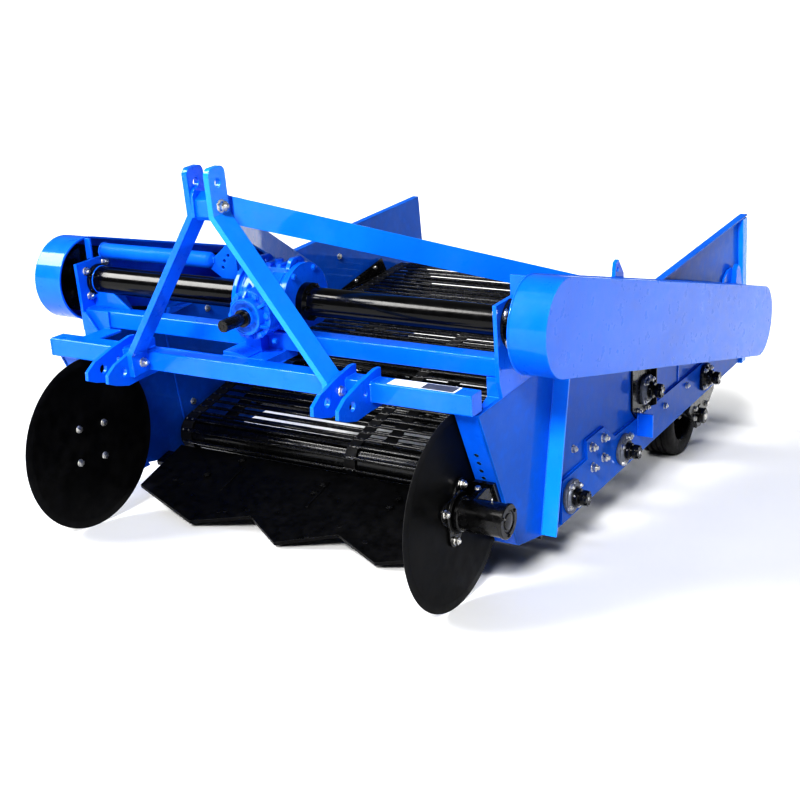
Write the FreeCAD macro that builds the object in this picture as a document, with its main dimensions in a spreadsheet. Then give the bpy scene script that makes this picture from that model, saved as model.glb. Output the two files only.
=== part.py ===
import FreeCAD, Part
import Sketcher
import math
import os

# Rear-mounted two-row elevator potato digger.
# Working frame: origin ahead of the toolbar, level with its underside and midway
# between the side panels; +X to the right when looking rearward, +Y rearward, +Z up, mm.
# The whole machine is pitched nose-down by `pitch` about the X axis and lifted
# so that the coulter discs and the rear gauge wheels stand on Z = 0, with the
# share points just clear of the floor. `shift_x` and `shift_y` then put the
# part's own origin on the floor at the middle of the machine's outline.

App = FreeCAD
V = App.Vector
doc = App.newDocument("potato_digger")
sheet = doc.addObject("Spreadsheet::Sheet", "dims")

_row = [1]
VAL = {}


def dim(alias, value):
    """One driving dimension: a plain number in its own aliased cell."""
    if alias in VAL:
        return VAL[alias]
    r = _row[0]
    _row[0] += 1
    sheet.set("A%d" % r, alias)
    sheet.set("B%d" % r, repr(round(float(value), 4)))
    sheet.setAlias("B%d" % r, alias)
    VAL[alias] = round(float(value), 4)
    return VAL[alias]


def D(alias):
    return "dims." + alias


# ---------------------------------------------------------------- dimensions
dim("pitch", 6.2); dim("shift_x", -15); dim("shift_y", -1146.1)
# toolbar and second beam
dim("bar_half", 766); dim("bar_size", 60); dim("bar_front", 28); dim("bar_bottom", 11)
dim("beam_half", 760); dim("beam_size", 56); dim("beam_front", 200); dim("beam_bottom", 68)
# hitch
dim("hitch_x", -8); dim("pin_spread", 825); dim("ear_pitch", 82); dim("ear_thick", 12)
dim("pin_bore", 14.35); dim("pin_y", -66); dim("pin_z", 31); dim("mast_height", 617); dim("mast_gap", 76); dim("mast_thick", 18)
dim("mast_depth", 72); dim("top_bore", 12.85); dim("mast_lean", -3.3); dim("mast_y", -3)
# side panels
dim("panel_in", 762); dim("panel_thick", 8); dim("lip", 20); dim("lip_thick", 6)
# cross shaft line and drive shaft line
dim("cross_y", 266); dim("cross_z", 210); dim("drive_y", 2135); dim("drive_z", -267)
dim("tube_rad", 44.5); dim("cover_rad", 138); dim("cover_in_right", 825); dim("cover_in_left", 795); dim("cover_deep", 114)
dim("cover_wall", 5); dim("pulley_rad", 110); dim("pulley_width", 40); dim("pulley_x_right", 840); dim("pulley_x_left", 810)
# discs
dim("disc_rad", 288); dim("disc_thick", 5); dim("disc_x", 685); dim("disc_y", 64); dim("disc_z", -290)
dim("hub_rad", 48); dim("hub_in", 704); dim("hub_out", 847); dim("hub_shaft", 20)
# gauge wheels
dim("wheel_rad", 170); dim("wheel_width", 150); dim("wheel_in", 560); dim("wheel_y", 1903)
dim("wheel_shaft", 15)
# web
dim("web_half", 738); dim("web_thick", 14)
dim("r1_y", 625); dim("r1_z", -447); dim("r1_rad", 60)
dim("r2_y", 1060); dim("r2_z", -450); dim("r2_rad", 52)
dim("r3_y", 1275); dim("r3_z", -300); dim("r3_rad", 62)
dim("r4_y", 1915); dim("r4_z", -450); dim("r4_rad", 67)
dim("rd_rad", 100); dim("shaft_rad", 17)
# gearbox
dim("gb_left", -110); dim("gb_right", 86); dim("gb_rad", 118); dim("pto_z", 198); dim("pto_front", -22)
dim("pto_rad", 17.45); dim("snout_rad", 55); dim("snout_front", 82)
# share
dim("share_half", 668); dim("share_thick", 12); dim("share_slope", 13.5); dim("share_tip_y", 155); dim("share_tip_z", -577)

v = VAL
TH = math.radians(v["pitch"])
# height of the ground line under the pins, in the working frame
Z0 = v["disc_z"] - v["disc_rad"] / math.cos(TH) + math.tan(TH) * v["disc_y"]


def ground(y):
    return Z0 - math.tan(TH) * y


dim("lift", -Z0 * math.cos(TH))
WHEEL_Z = dim("wheel_z", ground(v["wheel_y"]) + v["wheel_rad"] / math.cos(TH))
G = App.Placement(V(v["shift_x"], v["shift_y"], v["lift"]), App.Rotation(V(1, 0, 0), v["pitch"]))
doc.recompute()

PARTS = []


def finish(obj, label, local=None):
    obj.Label = label
    obj.Placement = G.multiply(local) if local is not None else G
    PARTS.append(obj)
    return obj


def T(x=0, y=0, z=0, axis=None, angle=0):
    rot = App.Rotation(V(*axis), angle) if axis else App.Rotation()
    return App.Placement(V(x, y, z), rot)


def plane(body, role):
    for f in body.Origin.OriginFeatures:
        if f.Role == role:
            return f
    raise RuntimeError(role)


def new_sketch(body, role, name):
    s = body.newObject("Sketcher::SketchObject", name)
    s.AttachmentSupport = [(plane(body, role), "")]
    s.MapMode = "FlatFace"
    return s


def add_polygon(s, key, pts):
    """Closed polygon whose corner coordinates are all cells of the sheet."""
    n = len(pts)
    first = s.GeometryCount
    for i in range(n):
        a, b = pts[i], pts[(i + 1) % n]
        s.addGeometry(Part.LineSegment(V(a[0], a[1], 0), V(b[0], b[1], 0)), False)
    for i in range(n):
        s.addConstraint(Sketcher.Constraint("Coincident", first + i, 2, first + (i + 1) % n, 1))
    for i in range(n):
        for k, kind in enumerate(("DistanceX", "DistanceY")):
            alias = "%s_p%02d_%s" % (key, i, "uv"[k])
            val = dim(alias, pts[i][k])
            c = s.addConstraint(Sketcher.Constraint(kind, -1, 1, first + i, 1, val))
            s.setExpression("Constraints[%d]" % c, D(alias))
    return first


def add_circle(s, key, c, r, ralias=None):
    g = s.addGeometry(Part.Circle(V(c[0], c[1], 0), V(0, 0, 1), r), False)
    for k, kind in enumerate(("DistanceX", "DistanceY")):
        alias = "%s_%s" % (key, "uv"[k])
        val = dim(alias, c[k])
        if abs(val) < 1e-6:
            # a centre on the sketch axis is held by a point-on-axis constraint
            s.addConstraint(Sketcher.Constraint("PointOnObject", g, 3, -2 if k == 0 else -1))
        else:
            i = s.addConstraint(Sketcher.Constraint(kind, -1, 1, g, 3, val))
            s.setExpression("Constraints[%d]" % i, D(alias))
    ralias = ralias or key + "_r"
    dim(ralias, r)
    i = s.addConstraint(Sketcher.Constraint("Radius", g, r))
    s.setExpression("Constraints[%d]" % i, D(ralias))
    return g


def pad(body, s, alias, name="Pad"):
    p = body.newObject("PartDesign::Pad", name)
    p.Profile = s
    p.Length = VAL[alias]
    p.setExpression("Length", D(alias))
    body.Tip = p
    s.Visibility = False
    return p


ROLE = {"x": "YZ_Plane", "y": "XZ_Plane", "z": "XY_Plane"}


def prism(label, axis, pts, thick_alias, at, holes=(), key=None, local=None, register=True):
    """Flat plate of polygon outline: `axis` is its normal, `at` its lower face."""
    key = key or label
    body = doc.addObject("PartDesign::Body", label + "_body")
    s = new_sketch(body, ROLE[axis], key + "_outline")
    add_polygon(s, key, pts)
    for i, h_ in enumerate(holes):
        if len(h_) == 3:
            add_circle(s, "%s_h%d" % (key, i), (h_[0], h_[1]), h_[2])
        else:
            add_polygon(s, "%s_w%d" % (key, i), h_)
    pad(body, s, thick_alias)
    off = {"x": T(x=at), "y": T(y=at + VAL[thick_alias]), "z": T(z=at)}[axis]
    if local is not None:
        off = local.multiply(off)
    if register:
        finish(body, label, off)
    else:
        body.Placement = off
    return body


def box(key, x, y, z, local=None):
    """Part::Box from x, y, z ranges, its three sizes bound to the sheet."""
    b = doc.addObject("Part::Box", key)
    for nm, rng, prop in (("lx", x, "Length"), ("ly", y, "Width"), ("lz", z, "Height")):
        a = key + "_" + nm
        dim(a, rng[1] - rng[0])
        setattr(b, prop, VAL[a])
        b.setExpression(prop, D(a))
    p = T(x[0], y[0], z[0])
    b.Placement = local.multiply(p) if local is not None else p
    return b


def rod(key, axis, start, length, r, ralias=None, lalias=None):
    c = doc.addObject("Part::Cylinder", key)
    ralias = ralias or key + "_rad"
    lalias = lalias or key + "_len"
    dim(ralias, r)
    dim(lalias, length)
    c.Radius = VAL[ralias]
    c.Height = VAL[lalias]
    c.setExpression("Radius", D(ralias))
    c.setExpression("Height", D(lalias))
    rot = {"x": ((0, 1, 0), 90), "y": ((1, 0, 0), -90), "z": ((0, 0, 1), 0)}[axis]
    c.Placement = T(start[0], start[1], start[2], rot[0], rot[1])
    return c


def fuse(label, objs, register=True):
    f = doc.addObject("Part::MultiFuse", label + "_fuse")
    f.Shapes = objs
    f.Refine = True
    if register:
        finish(f, label)
    return f


def cut(label, base, tool, register=True):
    c = doc.addObject("Part::Cut", label + "_cut")
    c.Base = base
    c.Tool = tool
    if register:
        finish(c, label)
    return c


def group(label, objs):
    """Like pieces of one body that don't touch, kept in one node."""
    c = doc.addObject("Part::Compound", label + "_set")
    c.Links = objs
    finish(c, label)
    return c


def turned(label, profile, at, register=True, key=None):
    """Body of revolution about X: profile is (axial, radius) corners, at = (x, y, z)."""
    key = key or label
    body = doc.addObject("PartDesign::Body", label + "_body")
    s = new_sketch(body, "XY_Plane", key + "_profile")
    add_polygon(s, key, profile)
    r = body.newObject("PartDesign::Revolution", key + "_turn")
    r.Profile = s
    r.ReferenceAxis = (s, ["H_Axis"])
    r.Angle = 360
    body.Tip = r
    if register:
        finish(body, label, T(*at))
    else:
        body.Placement = T(*at)
    return body


SIDES = (("left", -1), ("right", 1))


def span(side, a, b):
    """x range a..b (a < b, measured outward) on one side of the machine."""
    return (a, b) if side > 0 else (-b, -a)


# ------------------------------------------------------------------ toolbar
def square_bar(label, half, size, front, bottom, edge):
    body = doc.addObject("PartDesign::Body", label + "_body")
    s = new_sketch(body, "YZ_Plane", label + "_section")
    y0, z0, w = VAL[front], VAL[bottom], VAL[size]
    add_polygon(s, label, [(y0, z0), (y0 + w, z0), (y0 + w, z0 + w), (y0, z0 + w)])
    dim(label + "_length", 2 * VAL[half])
    p = pad(body, s, label + "_length")
    doc.recompute()
    names = []
    for i, e in enumerate(p.Shape.Edges):
        if abs(e.Length - VAL[label + "_length"]) < 1e-3:
            names.append("Edge%d" % (i + 1))
    f = body.newObject("PartDesign::Fillet", label + "_corners")
    f.Base = (p, names)
    dim(edge, 5)
    f.Radius = VAL[edge]
    f.setExpression("Radius", D(edge))
    body.Tip = f
    finish(body, label, T(x=-VAL[half]))


square_bar("toolbar", "bar_half", "bar_size", "bar_front", "bar_bottom", "bar_edge")
square_bar("second_beam", "beam_half", "beam_size", "beam_front", "beam_bottom", "beam_edge")

hx = v["hitch_x"]
BAR_R = v["bar_front"] + v["bar_size"]
BAR_T = v["bar_bottom"] + v["bar_size"]

# bed plate from the toolbar to the underside of the second beam, under the gearbox foot
bed = box("gearbox_bed_box", (-112, 45), (BAR_R, 256), (38, 68))
finish(bed, "gearbox_bed", T(-112, BAR_R, 38))

# --------------------------------------------------- lower hitch clevis ears
ear = [(-134, 12), (-132, 38), (-96, 62), (-18, 84), (66, 100), (88, 98), (88, 71), (28, 71), (28, 11), (88, 11), (84, -13), (28, -13), (-50, -18), (-104, -2)]
for nm, sd in SIDES:
    lst = []
    for k, o in (("inner", v["pin_spread"] / 2 - v["ear_pitch"] / 2), ("outer", v["pin_spread"] / 2 + v["ear_pitch"] / 2)):
        b = prism("%s_%s_ear" % (nm, k), "x", ear, "ear_thick", hx + sd * o - v["ear_thick"] / 2,
                  holes=[(v["pin_y"], v["pin_z"], v["pin_bore"]), (3, 44, 9)], key="ear", register=False)
        lst.append(b)
    group(nm + "_hitch_bracket", lst)

# ------------------------------------------------------------- hitch mast
mt = v["mast_thick"]
o_top = v["mast_gap"] / 2
o_foot = v["pin_spread"] / 2 - v["ear_pitch"] / 2 - v["ear_thick"] / 2   # inner face of the inner ear
zb, zf, zt = 527.0, 78.0, 661.0


def leg_outline(sd):
    # strip of constant thickness: upright head, splayed leg, upright foot tab
    a = math.atan2(o_foot - mt / 2 - o_top, zb - zf)
    k = mt / 2 * math.tan((math.pi / 2 - (math.pi / 2 - a)) / 2)
    pts = [(o_top - mt / 2, zt), (o_top + mt / 2, zt), (o_top + mt / 2, zb + k), (o_foot, zf + k),
           (o_foot, 10), (o_foot - mt, 10), (o_foot - mt, zf - k), (o_top - mt / 2, zb - k)]
    return [(hx + sd * p[0], p[1]) for p in (pts if sd > 0 else pts[::-1])]


mast_local = T(0, v["mast_y"], 0, (1, 0, 0), -v["mast_lean"])
for nm, sd in SIDES:
    b = doc.addObject("PartDesign::Body", nm + "_mast_body")
    s = new_sketch(b, "XZ_Plane", nm + "_mast_outline")
    add_polygon(s, nm + "_mast", leg_outline(sd))
    p = pad(b, s, "mast_depth")
    doc.recompute()
    # rounded head
    names = []
    for i, e in enumerate(p.Shape.Edges):
        vs = e.Vertexes
        if len(vs) == 2 and abs(vs[0].Z - zt) < .01 and abs(vs[1].Z - zt) < .01 and abs(e.Length - mt) < .01:
            names.append("Edge%d" % (i + 1))
    f = b.newObject("PartDesign::Fillet", nm + "_mast_head")
    f.Base = (p, names)
    dim("head_round", 20)
    f.Radius = VAL["head_round"]
    f.setExpression("Radius", D("head_round"))
    b.Tip = f
    loc = mast_local.multiply(T(y=v["mast_depth"] / 2))
    b.Placement = loc
    # bore for the top link pin, through the head, and for the foot bolt
    t1 = rod(nm + "_top_bore", "x", (hx - 100, 0, v["mast_height"]), 200, v["top_bore"], "top_bore")
    t1.Placement = mast_local.multiply(T(hx - 100, 0, v["mast_height"], (0, 1, 0), 90))
    t2 = rod(nm + "_tie_bore", "x", (hx - 100, 0, 0), 200, 9)
    t2.Placement = mast_local.multiply(T(hx - 100, 0, 553, (0, 1, 0), 90))
    # the foot ends at the toolbar's front face and clear of the pin bore
    x0, x1 = (hx + 200, hx + 500) if sd > 0 else (hx - 500, hx - 200)
    t3 = box(nm + "_foot_rear", (x0, x1), (v["bar_front"], 120), (-40, BAR_T))
    t4 = box(nm + "_foot_front", (x0, x1), (-120, -44), (-40, 66))
    tools = fuse(nm + "_mast_bores", [t1, t2, t3, t4], register=False)
    cut(nm + "_mast_leg", b, tools)

# tie block between the mast plates, that the two rear braces are welded to
dim("mast_tie_w", 58)
prism("mast_tie", "x", [(-62, 524), (-50, 512), (52, 486), (62, 500), (62, 553), (20, 573), (-30, 590), (-62, 570)], "mast_tie_w", hx - 29,
      holes=[(v["mast_y"] - 553 * math.sin(math.radians(3.3)), 553 * math.cos(math.radians(3.3)), 9)], key="tie")

# -------------------------------------------------------------- rear braces
for nm, sd in SIDES:
    # upright flat bar from the tie block to the inner face of the side panel
    ax, ay, azt = hx + sd * 33.8, 34.0, 566.0
    bx, by, bzt = sd * 757.0, 1500.0, -16.0
    # upright flat bar
    L = math.hypot(bx - ax, by - ay)
    yaw = math.degrees(math.atan2(by - ay, bx - ax))
    drop = bzt - azt
    pts = [(0, -80), (L, -80 + drop), (L, drop), (0, 0)]
    b = doc.addObject("PartDesign::Body", nm + "_brace_body")
    s = new_sketch(b, "XZ_Plane", nm + "_brace_outline")
    add_polygon(s, nm + "_brace", pts)
    dim("brace_thick", 10)
    pad(b, s, "brace_thick")
    off = T(ax, ay, azt, (0, 0, 1), yaw)
    finish(b, nm + "_brace", off.multiply(T(y=5)))

# -------------------------------------------------------------- side panels
TOP = lambda y: 5 + (y - 60) * (103.0 - 5.0) / (2390.0 - 60.0)
panel = [(60, TOP(60)), (2390, TOP(2390)), (2440, -534), (560, -531), (280, -471)]
lip = [(546, TOP(546) - 6), (2390, TOP(2390) - 6), (2390, TOP(2390)), (546, TOP(546))]
shafts = [("r1", 55), ("r2", 38), ("r3", 60), ("r4", 38)]
pholes = [(v["r1_y"], v["r1_z"], 22), (v["r2_y"], v["r2_z"], 22), (v["r3_y"], v["r3_z"], 22), (v["r4_y"], v["r4_z"], 22),
          (v["drive_y"], v["drive_z"], 30)]
for nm, sd in SIDES:
    b = doc.addObject("PartDesign::Body", nm + "_panel_body")
    s = new_sketch(b, "YZ_Plane", nm + "_panel_outline")
    add_polygon(s, "panel", panel)
    for i, h_ in enumerate(pholes):
        add_circle(s, "panel_h%d" % i, (h_[0], h_[1]), h_[2])
    p = pad(b, s, "panel_thick")
    s2 = new_sketch(b, "YZ_Plane", nm + "_lip_outline")
    add_polygon(s2, "panel_lip", lip)
    dim("lip_total", v["panel_thick"] + v["lip"])
    p2 = pad(b, s2, "lip_total", "Lip")
    if sd < 0:
        p.Reversed = True
        p2.Reversed = True
    finish(b, nm + "_side_panel", T(x=sd * v["panel_in"]))

# slanted front members, under the ends of the toolbar
member = [(60, 11), (112, 11), (332, -471), (280, -471)]
dim("member_w", 70)
for nm, sd in SIDES:
    x0, x1 = span(sd, 692, 762)
    prism(nm + "_front_member", "x", member, "member_w", x0, key="member")

# bottom rails outside the panels
rail = [(562, -521), (2384, -522), (2373, -393), (1000, -380), (948, -347), (902, -312), (759, -312), (766, -377), (572, -379)]
rholes = [(v["r1_y"], v["r1_z"], 22), (v["r2_y"], v["r2_z"], 22), (v["r4_y"], v["r4_z"], 22)]
dim("rail_w", 10)
for nm, sd in SIDES:
    x0, x1 = span(sd, 770, 780)
    b = prism(nm + "_bottom_rail", "x", rail, "rail_w", x0, holes=rholes, key="rail")

# posts on the panels' outer faces, and the lug that stands on each panel's top
dim("post_w", 50)
dim("rpost_w", 20)
dim("lug_w", 12)
lug = [(950, 43), (1006, 150), (1018, 208), (1040, 214), (1084, 160), (1092, 49)]
for nm, sd in SIDES:
    lst = []
    x0, x1 = span(sd, 770, 820)
    lst.append(prism(nm + "_front_post", "x", [(430, -500), (438, -500), (548, -22), (540, -22)], "post_w", x0, key="fpost", register=False))
    x0, x1 = span(sd, 770, 790)
    lst.append(prism(nm + "_rear_post", "x", [(2387, -534), (2439, -534), (2391, 90), (2339, 90)], "rpost_w", x0, key="rpost", register=False))
    group(nm + "_panel_posts", lst)
    x0, x1 = span(sd, 762, 774)
    prism(nm + "_cover_lug", "x", lug, "lug_w", x0, holes=[(1032, 184, 8)], key="lug")

# ----------------------------------------------------------- bearing plates
bplate = [(200, TOP(200)), (440, TOP(440)), (385, 120), (340, 225), (332, 283), (176, 279), (184, 60)]
dim("bplate_w", 12)
for nm, sd in SIDES:
    x0, x1 = span(sd, 760, 772)
    prism(nm + "_bearing_plate", "x", bplate, "bplate_w", x0, holes=[(v["cross_y"], v["cross_z"], 24)], key="bplate")

# --------------------------------------------------- cross shaft housings
cy, cz = v["cross_y"], v["cross_z"]
turned("left_shaft_housing", [(-760, 22), (-110, 22), (-110, 57), (-124, 57), (-124, v["tube_rad"]), (-742, v["tube_rad"]), (-742, 50), (-760, 50)], (0, cy, cz))
turned("right_shaft_housing", [(86, 22), (760, 22), (760, 50), (742, 50), (742, v["tube_rad"]), (116, v["tube_rad"]), (108, 57), (86, 57)], (0, cy, cz))

# ------------------------------------------------------------------ gearbox
gb = [rod("gb_barrel", "x", (-110, cy, cz), 196, 100),
      rod("gb_flange", "x", (70, cy, cz), 16, v["gb_rad"], "gb_rad"),
      rod("gb_rib", "x", (-110, cy, cz), 14, 112),
      rod("gb_snout", "y", (hx, v["snout_front"], v["pto_z"]), 150, v["snout_rad"], "snout_rad"),
      rod("gb_collar", "y", (hx, 108, v["pto_z"]), 60, 74)]
g1 = fuse("gb_upper", gb, register=False)
low = box("gb_low", (-260, 140), (200, 460), (-40, 126))
g2 = cut("gb_trim", g1, low, register=False)
foot = box("gb_foot", (-74, -18), (160, 199), (68, 134))
foot_pad = box("gb_foot_pad", (-98, -26), (186, 199), (96, 110))
g3 = fuse("gb_body", [g2, foot, foot_pad], register=False)
bore = rod("gb_bore", "y", (hx, 60, v["pto_z"]), 130, v["pto_rad"] + 0.05)
g4 = cut("gearbox", g3, bore)

# stay tube from the left bearing plate, with the drilled plate that joins it to
# the gearbox's left rib
stay_t = turned("stay_tube", [(-760, 0), (-288, 0), (-290, 12), (-298, 22), (-308, 26), (-760, 26)], (0, 310, 297), register=False)
dim("stay_plate_w", 10)
stay_p = prism("stay_plate", "y", [(-313, 288), (-254, 335), (-238, 350), (-200, 350), (-198, 270), (-110, 272), (-110, 256), (-132, 254), (-254, 240), (-313, 276)],
               "stay_plate_w", 305, holes=[(-230, 318, 6), (-246, 300, 6), (-254, 278, 6)], register=False)
fuse("gearbox_stay", [stay_t, stay_p])

# straps from the bearing plates out to the inner edge of the drive covers
for nm, sd in SIDES:
    x0, x1 = span(sd, 772, v["cover_in_" + nm])
    st_b = box(nm + "_strap_box", (x0, x1), (262, 270), (240, 346))
    finish(st_b, nm + "_cover_strap", T(x0, 262, 240))

# input shaft
rotor = [rod("pto_spline", "y", (hx, v["pto_front"], v["pto_z"]), 180, v["pto_rad"], "pto_rad")]
pt = fuse("pto_body", rotor + [rod("pto_collar", "y", (hx, 66, v["pto_z"]), 12, 26)], register=False)
finish(pt, "pto_shaft")

# ------------------------------------------------ drive covers and pulleys
dy, dz = v["drive_y"] - cy, v["drive_z"] - cz
CL = math.hypot(dy, dz)
CA = math.degrees(math.atan2(dz, dy))
dim("cover_len", CL)


def slot_wire(s, key, r, ralias, ln):
    """Slot of end radius r from (0, 0) to (ln, 0)."""
    a1 = s.addGeometry(Part.ArcOfCircle(Part.Circle(V(0, 0, 0), V(0, 0, 1), r), math.pi / 2, 3 * math.pi / 2), False)
    l1 = s.addGeometry(Part.LineSegment(V(0, -r, 0), V(ln, -r, 0)), False)
    a2 = s.addGeometry(Part.ArcOfCircle(Part.Circle(V(ln, 0, 0), V(0, 0, 1), r), -math.pi / 2, math.pi / 2), False)
    l2 = s.addGeometry(Part.LineSegment(V(ln, r, 0), V(0, r, 0)), False)
    C = Sketcher.Constraint
    s.addConstraint(C("Coincident", a1, 3, -1, 1))
    s.addConstraint(C("PointOnObject", a2, 3, -1))
    s.addConstraint(C("Tangent", a1, 2, l1, 1))
    s.addConstraint(C("Tangent", l1, 2, a2, 1))
    s.addConstraint(C("Tangent", a2, 2, l2, 1))
    s.addConstraint(C("Tangent", l2, 2, a1, 1))
    i = s.addConstraint(C("Radius", a1, r))
    s.setExpression("Constraints[%d]" % i, D(ralias))
    i = s.addConstraint(C("DistanceX", a1, 3, a2, 3, ln))
    s.setExpression("Constraints[%d]" % i, D("cover_len"))


dim("cover_rad_in", v["cover_rad"] - v["cover_wall"])
dim("cover_pocket", v["cover_deep"] - v["cover_wall"])
for nm, sd in SIDES:
    b = doc.addObject("PartDesign::Body", nm + "_cover_body")
    s = new_sketch(b, "YZ_Plane", nm + "_cover_outline")
    slot_wire(s, nm, v["cover_rad"], "cover_rad", CL)
    p = pad(b, s, "cover_deep")
    p.Reversed = sd < 0
    doc.recompute()
    full = p.Shape.Volume
    s2 = new_sketch(b, "YZ_Plane", nm + "_cover_hollow")
    slot_wire(s2, nm, v["cover_rad_in"], "cover_rad_in", CL)
    k = b.newObject("PartDesign::Pocket", nm + "_cover_pocket")
    k.Profile = s2
    k.Length = v["cover_pocket"]
    k.setExpression("Length", D("cover_pocket"))
    k.Reversed = sd > 0
    b.Tip = k
    doc.recompute()
    if b.Shape.Volume > 0.5 * full:
        raise RuntimeError("cover pocket cut nothing")
    finish(b, nm + "_drive_cover", T(sd * v["cover_in_" + nm], cy, cz, (1, 0, 0), CA))

pw = v["pulley_width"]


def pulley_profile(bore):
    return [(0, bore), (pw, bore), (pw, 110), (pw - 7, 110), (pw - 7, 96), (7, 96), (7, 110), (0, 110)]


for nm, sd in SIDES:
    px0 = v["pulley_x_" + nm]
    a0 = px0 if sd > 0 else -px0 - pw
    lst = []
    for q, (yy, zz) in (("front", (cy, cz)), ("rear", (v["drive_y"], v["drive_z"]))):
        lst.append(turned("%s_%s_pulley" % (nm, q), pulley_profile(22), (a0, yy, zz), register=False, key="pulley"))
    group(nm + "_drive_pulleys", lst)

# belt: a fixed loop in the pulley grooves
dim("belt_out", 108)
dim("belt_in", 96.3)
dim("belt_w", 22)
for nm, sd in SIDES:
    px0 = v["pulley_x_" + nm]
    a0 = px0 + 9 if sd > 0 else -px0 - 9 - 22
    b = doc.addObject("PartDesign::Body", nm + "_belt_body")
    s = new_sketch(b, "YZ_Plane", nm + "_belt_outline")
    slot_wire(s, nm, v["belt_out"], "belt_out", CL)
    slot_wire(s, nm, v["belt_in"], "belt_in", CL)
    pad(b, s, "belt_w")
    finish(b, nm + "_drive_belt", T(a0, cy, cz, (1, 0, 0), CA))

# output stubs of the cross shaft, one each side, that carry the front pulleys
st = []
for nm, sd in SIDES:
    x0, x1 = span(sd, 706, v["pulley_x_" + nm] + 48)
    st.append(rod(nm + "_stub", "x", (x0, cy, cz), x1 - x0, 20, "stub_rad", nm + "_stub_len"))
group("cross_shaft_ends", st)

# ------------------------------------------------------------------- rollers


def roller(key, label, register):
    return turned(label, [(-838, 0), (838, 0), (838, v["shaft_rad"]), (735, v["shaft_rad"]), (735, v[key + "_rad"]), (-735, v[key + "_rad"]), (-735, v["shaft_rad"]), (-838, v["shaft_rad"])],
                  (0, v[key + "_y"], v[key + "_z"]), register=register)


def stub_roller(key, label, sd):
    """Short roller on a stub shaft, under the web's edge and outside the gauge wheel."""
    prof = [(720, 0), (838, 0), (838, v["shaft_rad"]), (746, v["shaft_rad"]), (746, v[key + "_rad"]), (720, v[key + "_rad"])]
    if sd < 0:
        prof = [(-a, r) for a, r in prof][::-1]
    return turned(label, prof, (0, v[key + "_y"], v[key + "_z"]), register=False)


roller("r1", "web_front_roller", True)
group("web_support_rollers", [roller("r2", "return_roller_front", False), roller("r3", "carrying_roller", False),
                              stub_roller("r4", "left_return_roller_rear", -1), stub_roller("r4", "right_return_roller_rear", 1)])
sp = v["rd_rad"]
turned("web_drive_shaft", [(-858, 0), (888, 0), (888, 21.9), (660, 21.9), (660, sp), (620, sp), (620, 22), (20, 22), (20, sp), (-20, sp), (-20, 22), (-620, 22), (-620, sp), (-660, sp), (-660, 21.9), (-858, 21.9)],
       (0, v["drive_y"], v["drive_z"]))

# flange bearings outside the rails
for nm, sd in SIDES:
    lst = []
    for key in ("r1", "r2", "r4"):
        a0 = 780 if sd > 0 else -808
        lst.append(turned("%s_%s_bearing" % (nm, key), [(0, 17.1), (28, 17.1), (28, 40), (10, 40), (10, 56), (0, 56)] if sd > 0 else [(0, 17.1), (28, 17.1), (28, 56), (18, 56), (18, 40), (0, 40)],
                          (a0, v[key + "_y"], v[key + "_z"]), register=False, key="brg_" + nm))
    a0 = 770 if sd > 0 else -798
    lst.append(turned("%s_r3_bearing" % nm, [(0, 17.1), (28, 17.1), (28, 40), (10, 40), (10, 56), (0, 56)] if sd > 0 else [(0, 17.1), (28, 17.1), (28, 56), (18, 56), (18, 40), (0, 40)],
                      (a0, v["r3_y"], v["r3_z"]), register=False, key="brg_" + nm))
    a0 = 770 if sd > 0 else -798
    lst.append(turned("%s_rd_bearing" % nm, [(0, 22), (28, 22), (28, 44), (10, 44), (10, 62), (0, 62)] if sd > 0 else [(0, 22), (28, 22), (28, 62), (18, 62), (18, 44), (0, 44)],
                      (a0, v["drive_y"], v["drive_z"]), register=False, key="dbrg_" + nm))
    group(nm + "_flange_bearings", lst)


# ----------------------------------------------------------- web conveyor
def tangent_loop(stations, off):
    """Closed run round circular stations (y, z, r, side); side +1 keeps the
    circle inside the loop, -1 lets the run pass on the other side of it."""
    n = len(stations)
    segs = []
    for i in range(n):
        y1, z1, r1, s1 = stations[i]
        y2, z2, r2, s2 = stations[(i + 1) % n]
        a1 = (r1 + off * s1) * s1
        a2 = (r2 + off * s2) * s2
        dx, dz_ = y2 - y1, z2 - z1
        d = math.hypot(dx, dz_)
        ang = math.atan2(dz_, dx)
        beta = math.asin((a1 - a2) / d)
        # clockwise loop (top run rearward): circle centres lie to the right
        t = ang - 0.0
        nx, nz = -math.sin(t - beta), math.cos(t - beta)
        segs.append(((y1 + a1 * nx, z1 + a1 * nz), (y2 + a2 * nx, z2 + a2 * nz)))
    return segs


WT = v["web_thick"] / 2
stations = [(v["r1_y"], v["r1_z"], v["r1_rad"] + WT + 0.4, 1), (v["r3_y"], v["r3_z"], v["r3_rad"] + WT + 0.4, 1),
            (v["drive_y"], v["drive_z"], sp + WT + 0.4, 1),
            (v["r4_y"], v["r4_z"], v["r4_rad"] + WT + 0.4, -1), (v["r2_y"], v["r2_z"], v["r2_rad"] + WT + 0.4, -1)]


def loop_wire(off):
    wx = -v["web_half"]
    segs = tangent_loop(stations, off)
    edges = []
    n = len(segs)
    for i in range(n):
        a, b_ = segs[i]
        edges.append(Part.LineSegment(V(wx, a[0], a[1]), V(wx, b_[0], b_[1])).toShape())
        yc, zc, r, sd = stations[(i + 1) % n]
        nxt = segs[(i + 1) % n][0]
        rr = abs((r + off * sd))
        a1 = math.atan2(b_[1] - zc, b_[0] - yc)
        a2 = math.atan2(nxt[1] - zc, nxt[0] - yc)
        if sd > 0:
            while a2 > a1:
                a2 -= 2 * math.pi
        else:
            while a2 < a1:
                a2 += 2 * math.pi
        if abs(a2 - a1) > 1e-4:
            am = (a1 + a2) / 2
            edges.append(Part.Arc(V(wx, b_[0], b_[1]), V(wx, yc + rr * math.cos(am), zc + rr * math.sin(am)), V(wx, nxt[0], nxt[1])).toShape())
    return Part.Wire(edges)


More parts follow.
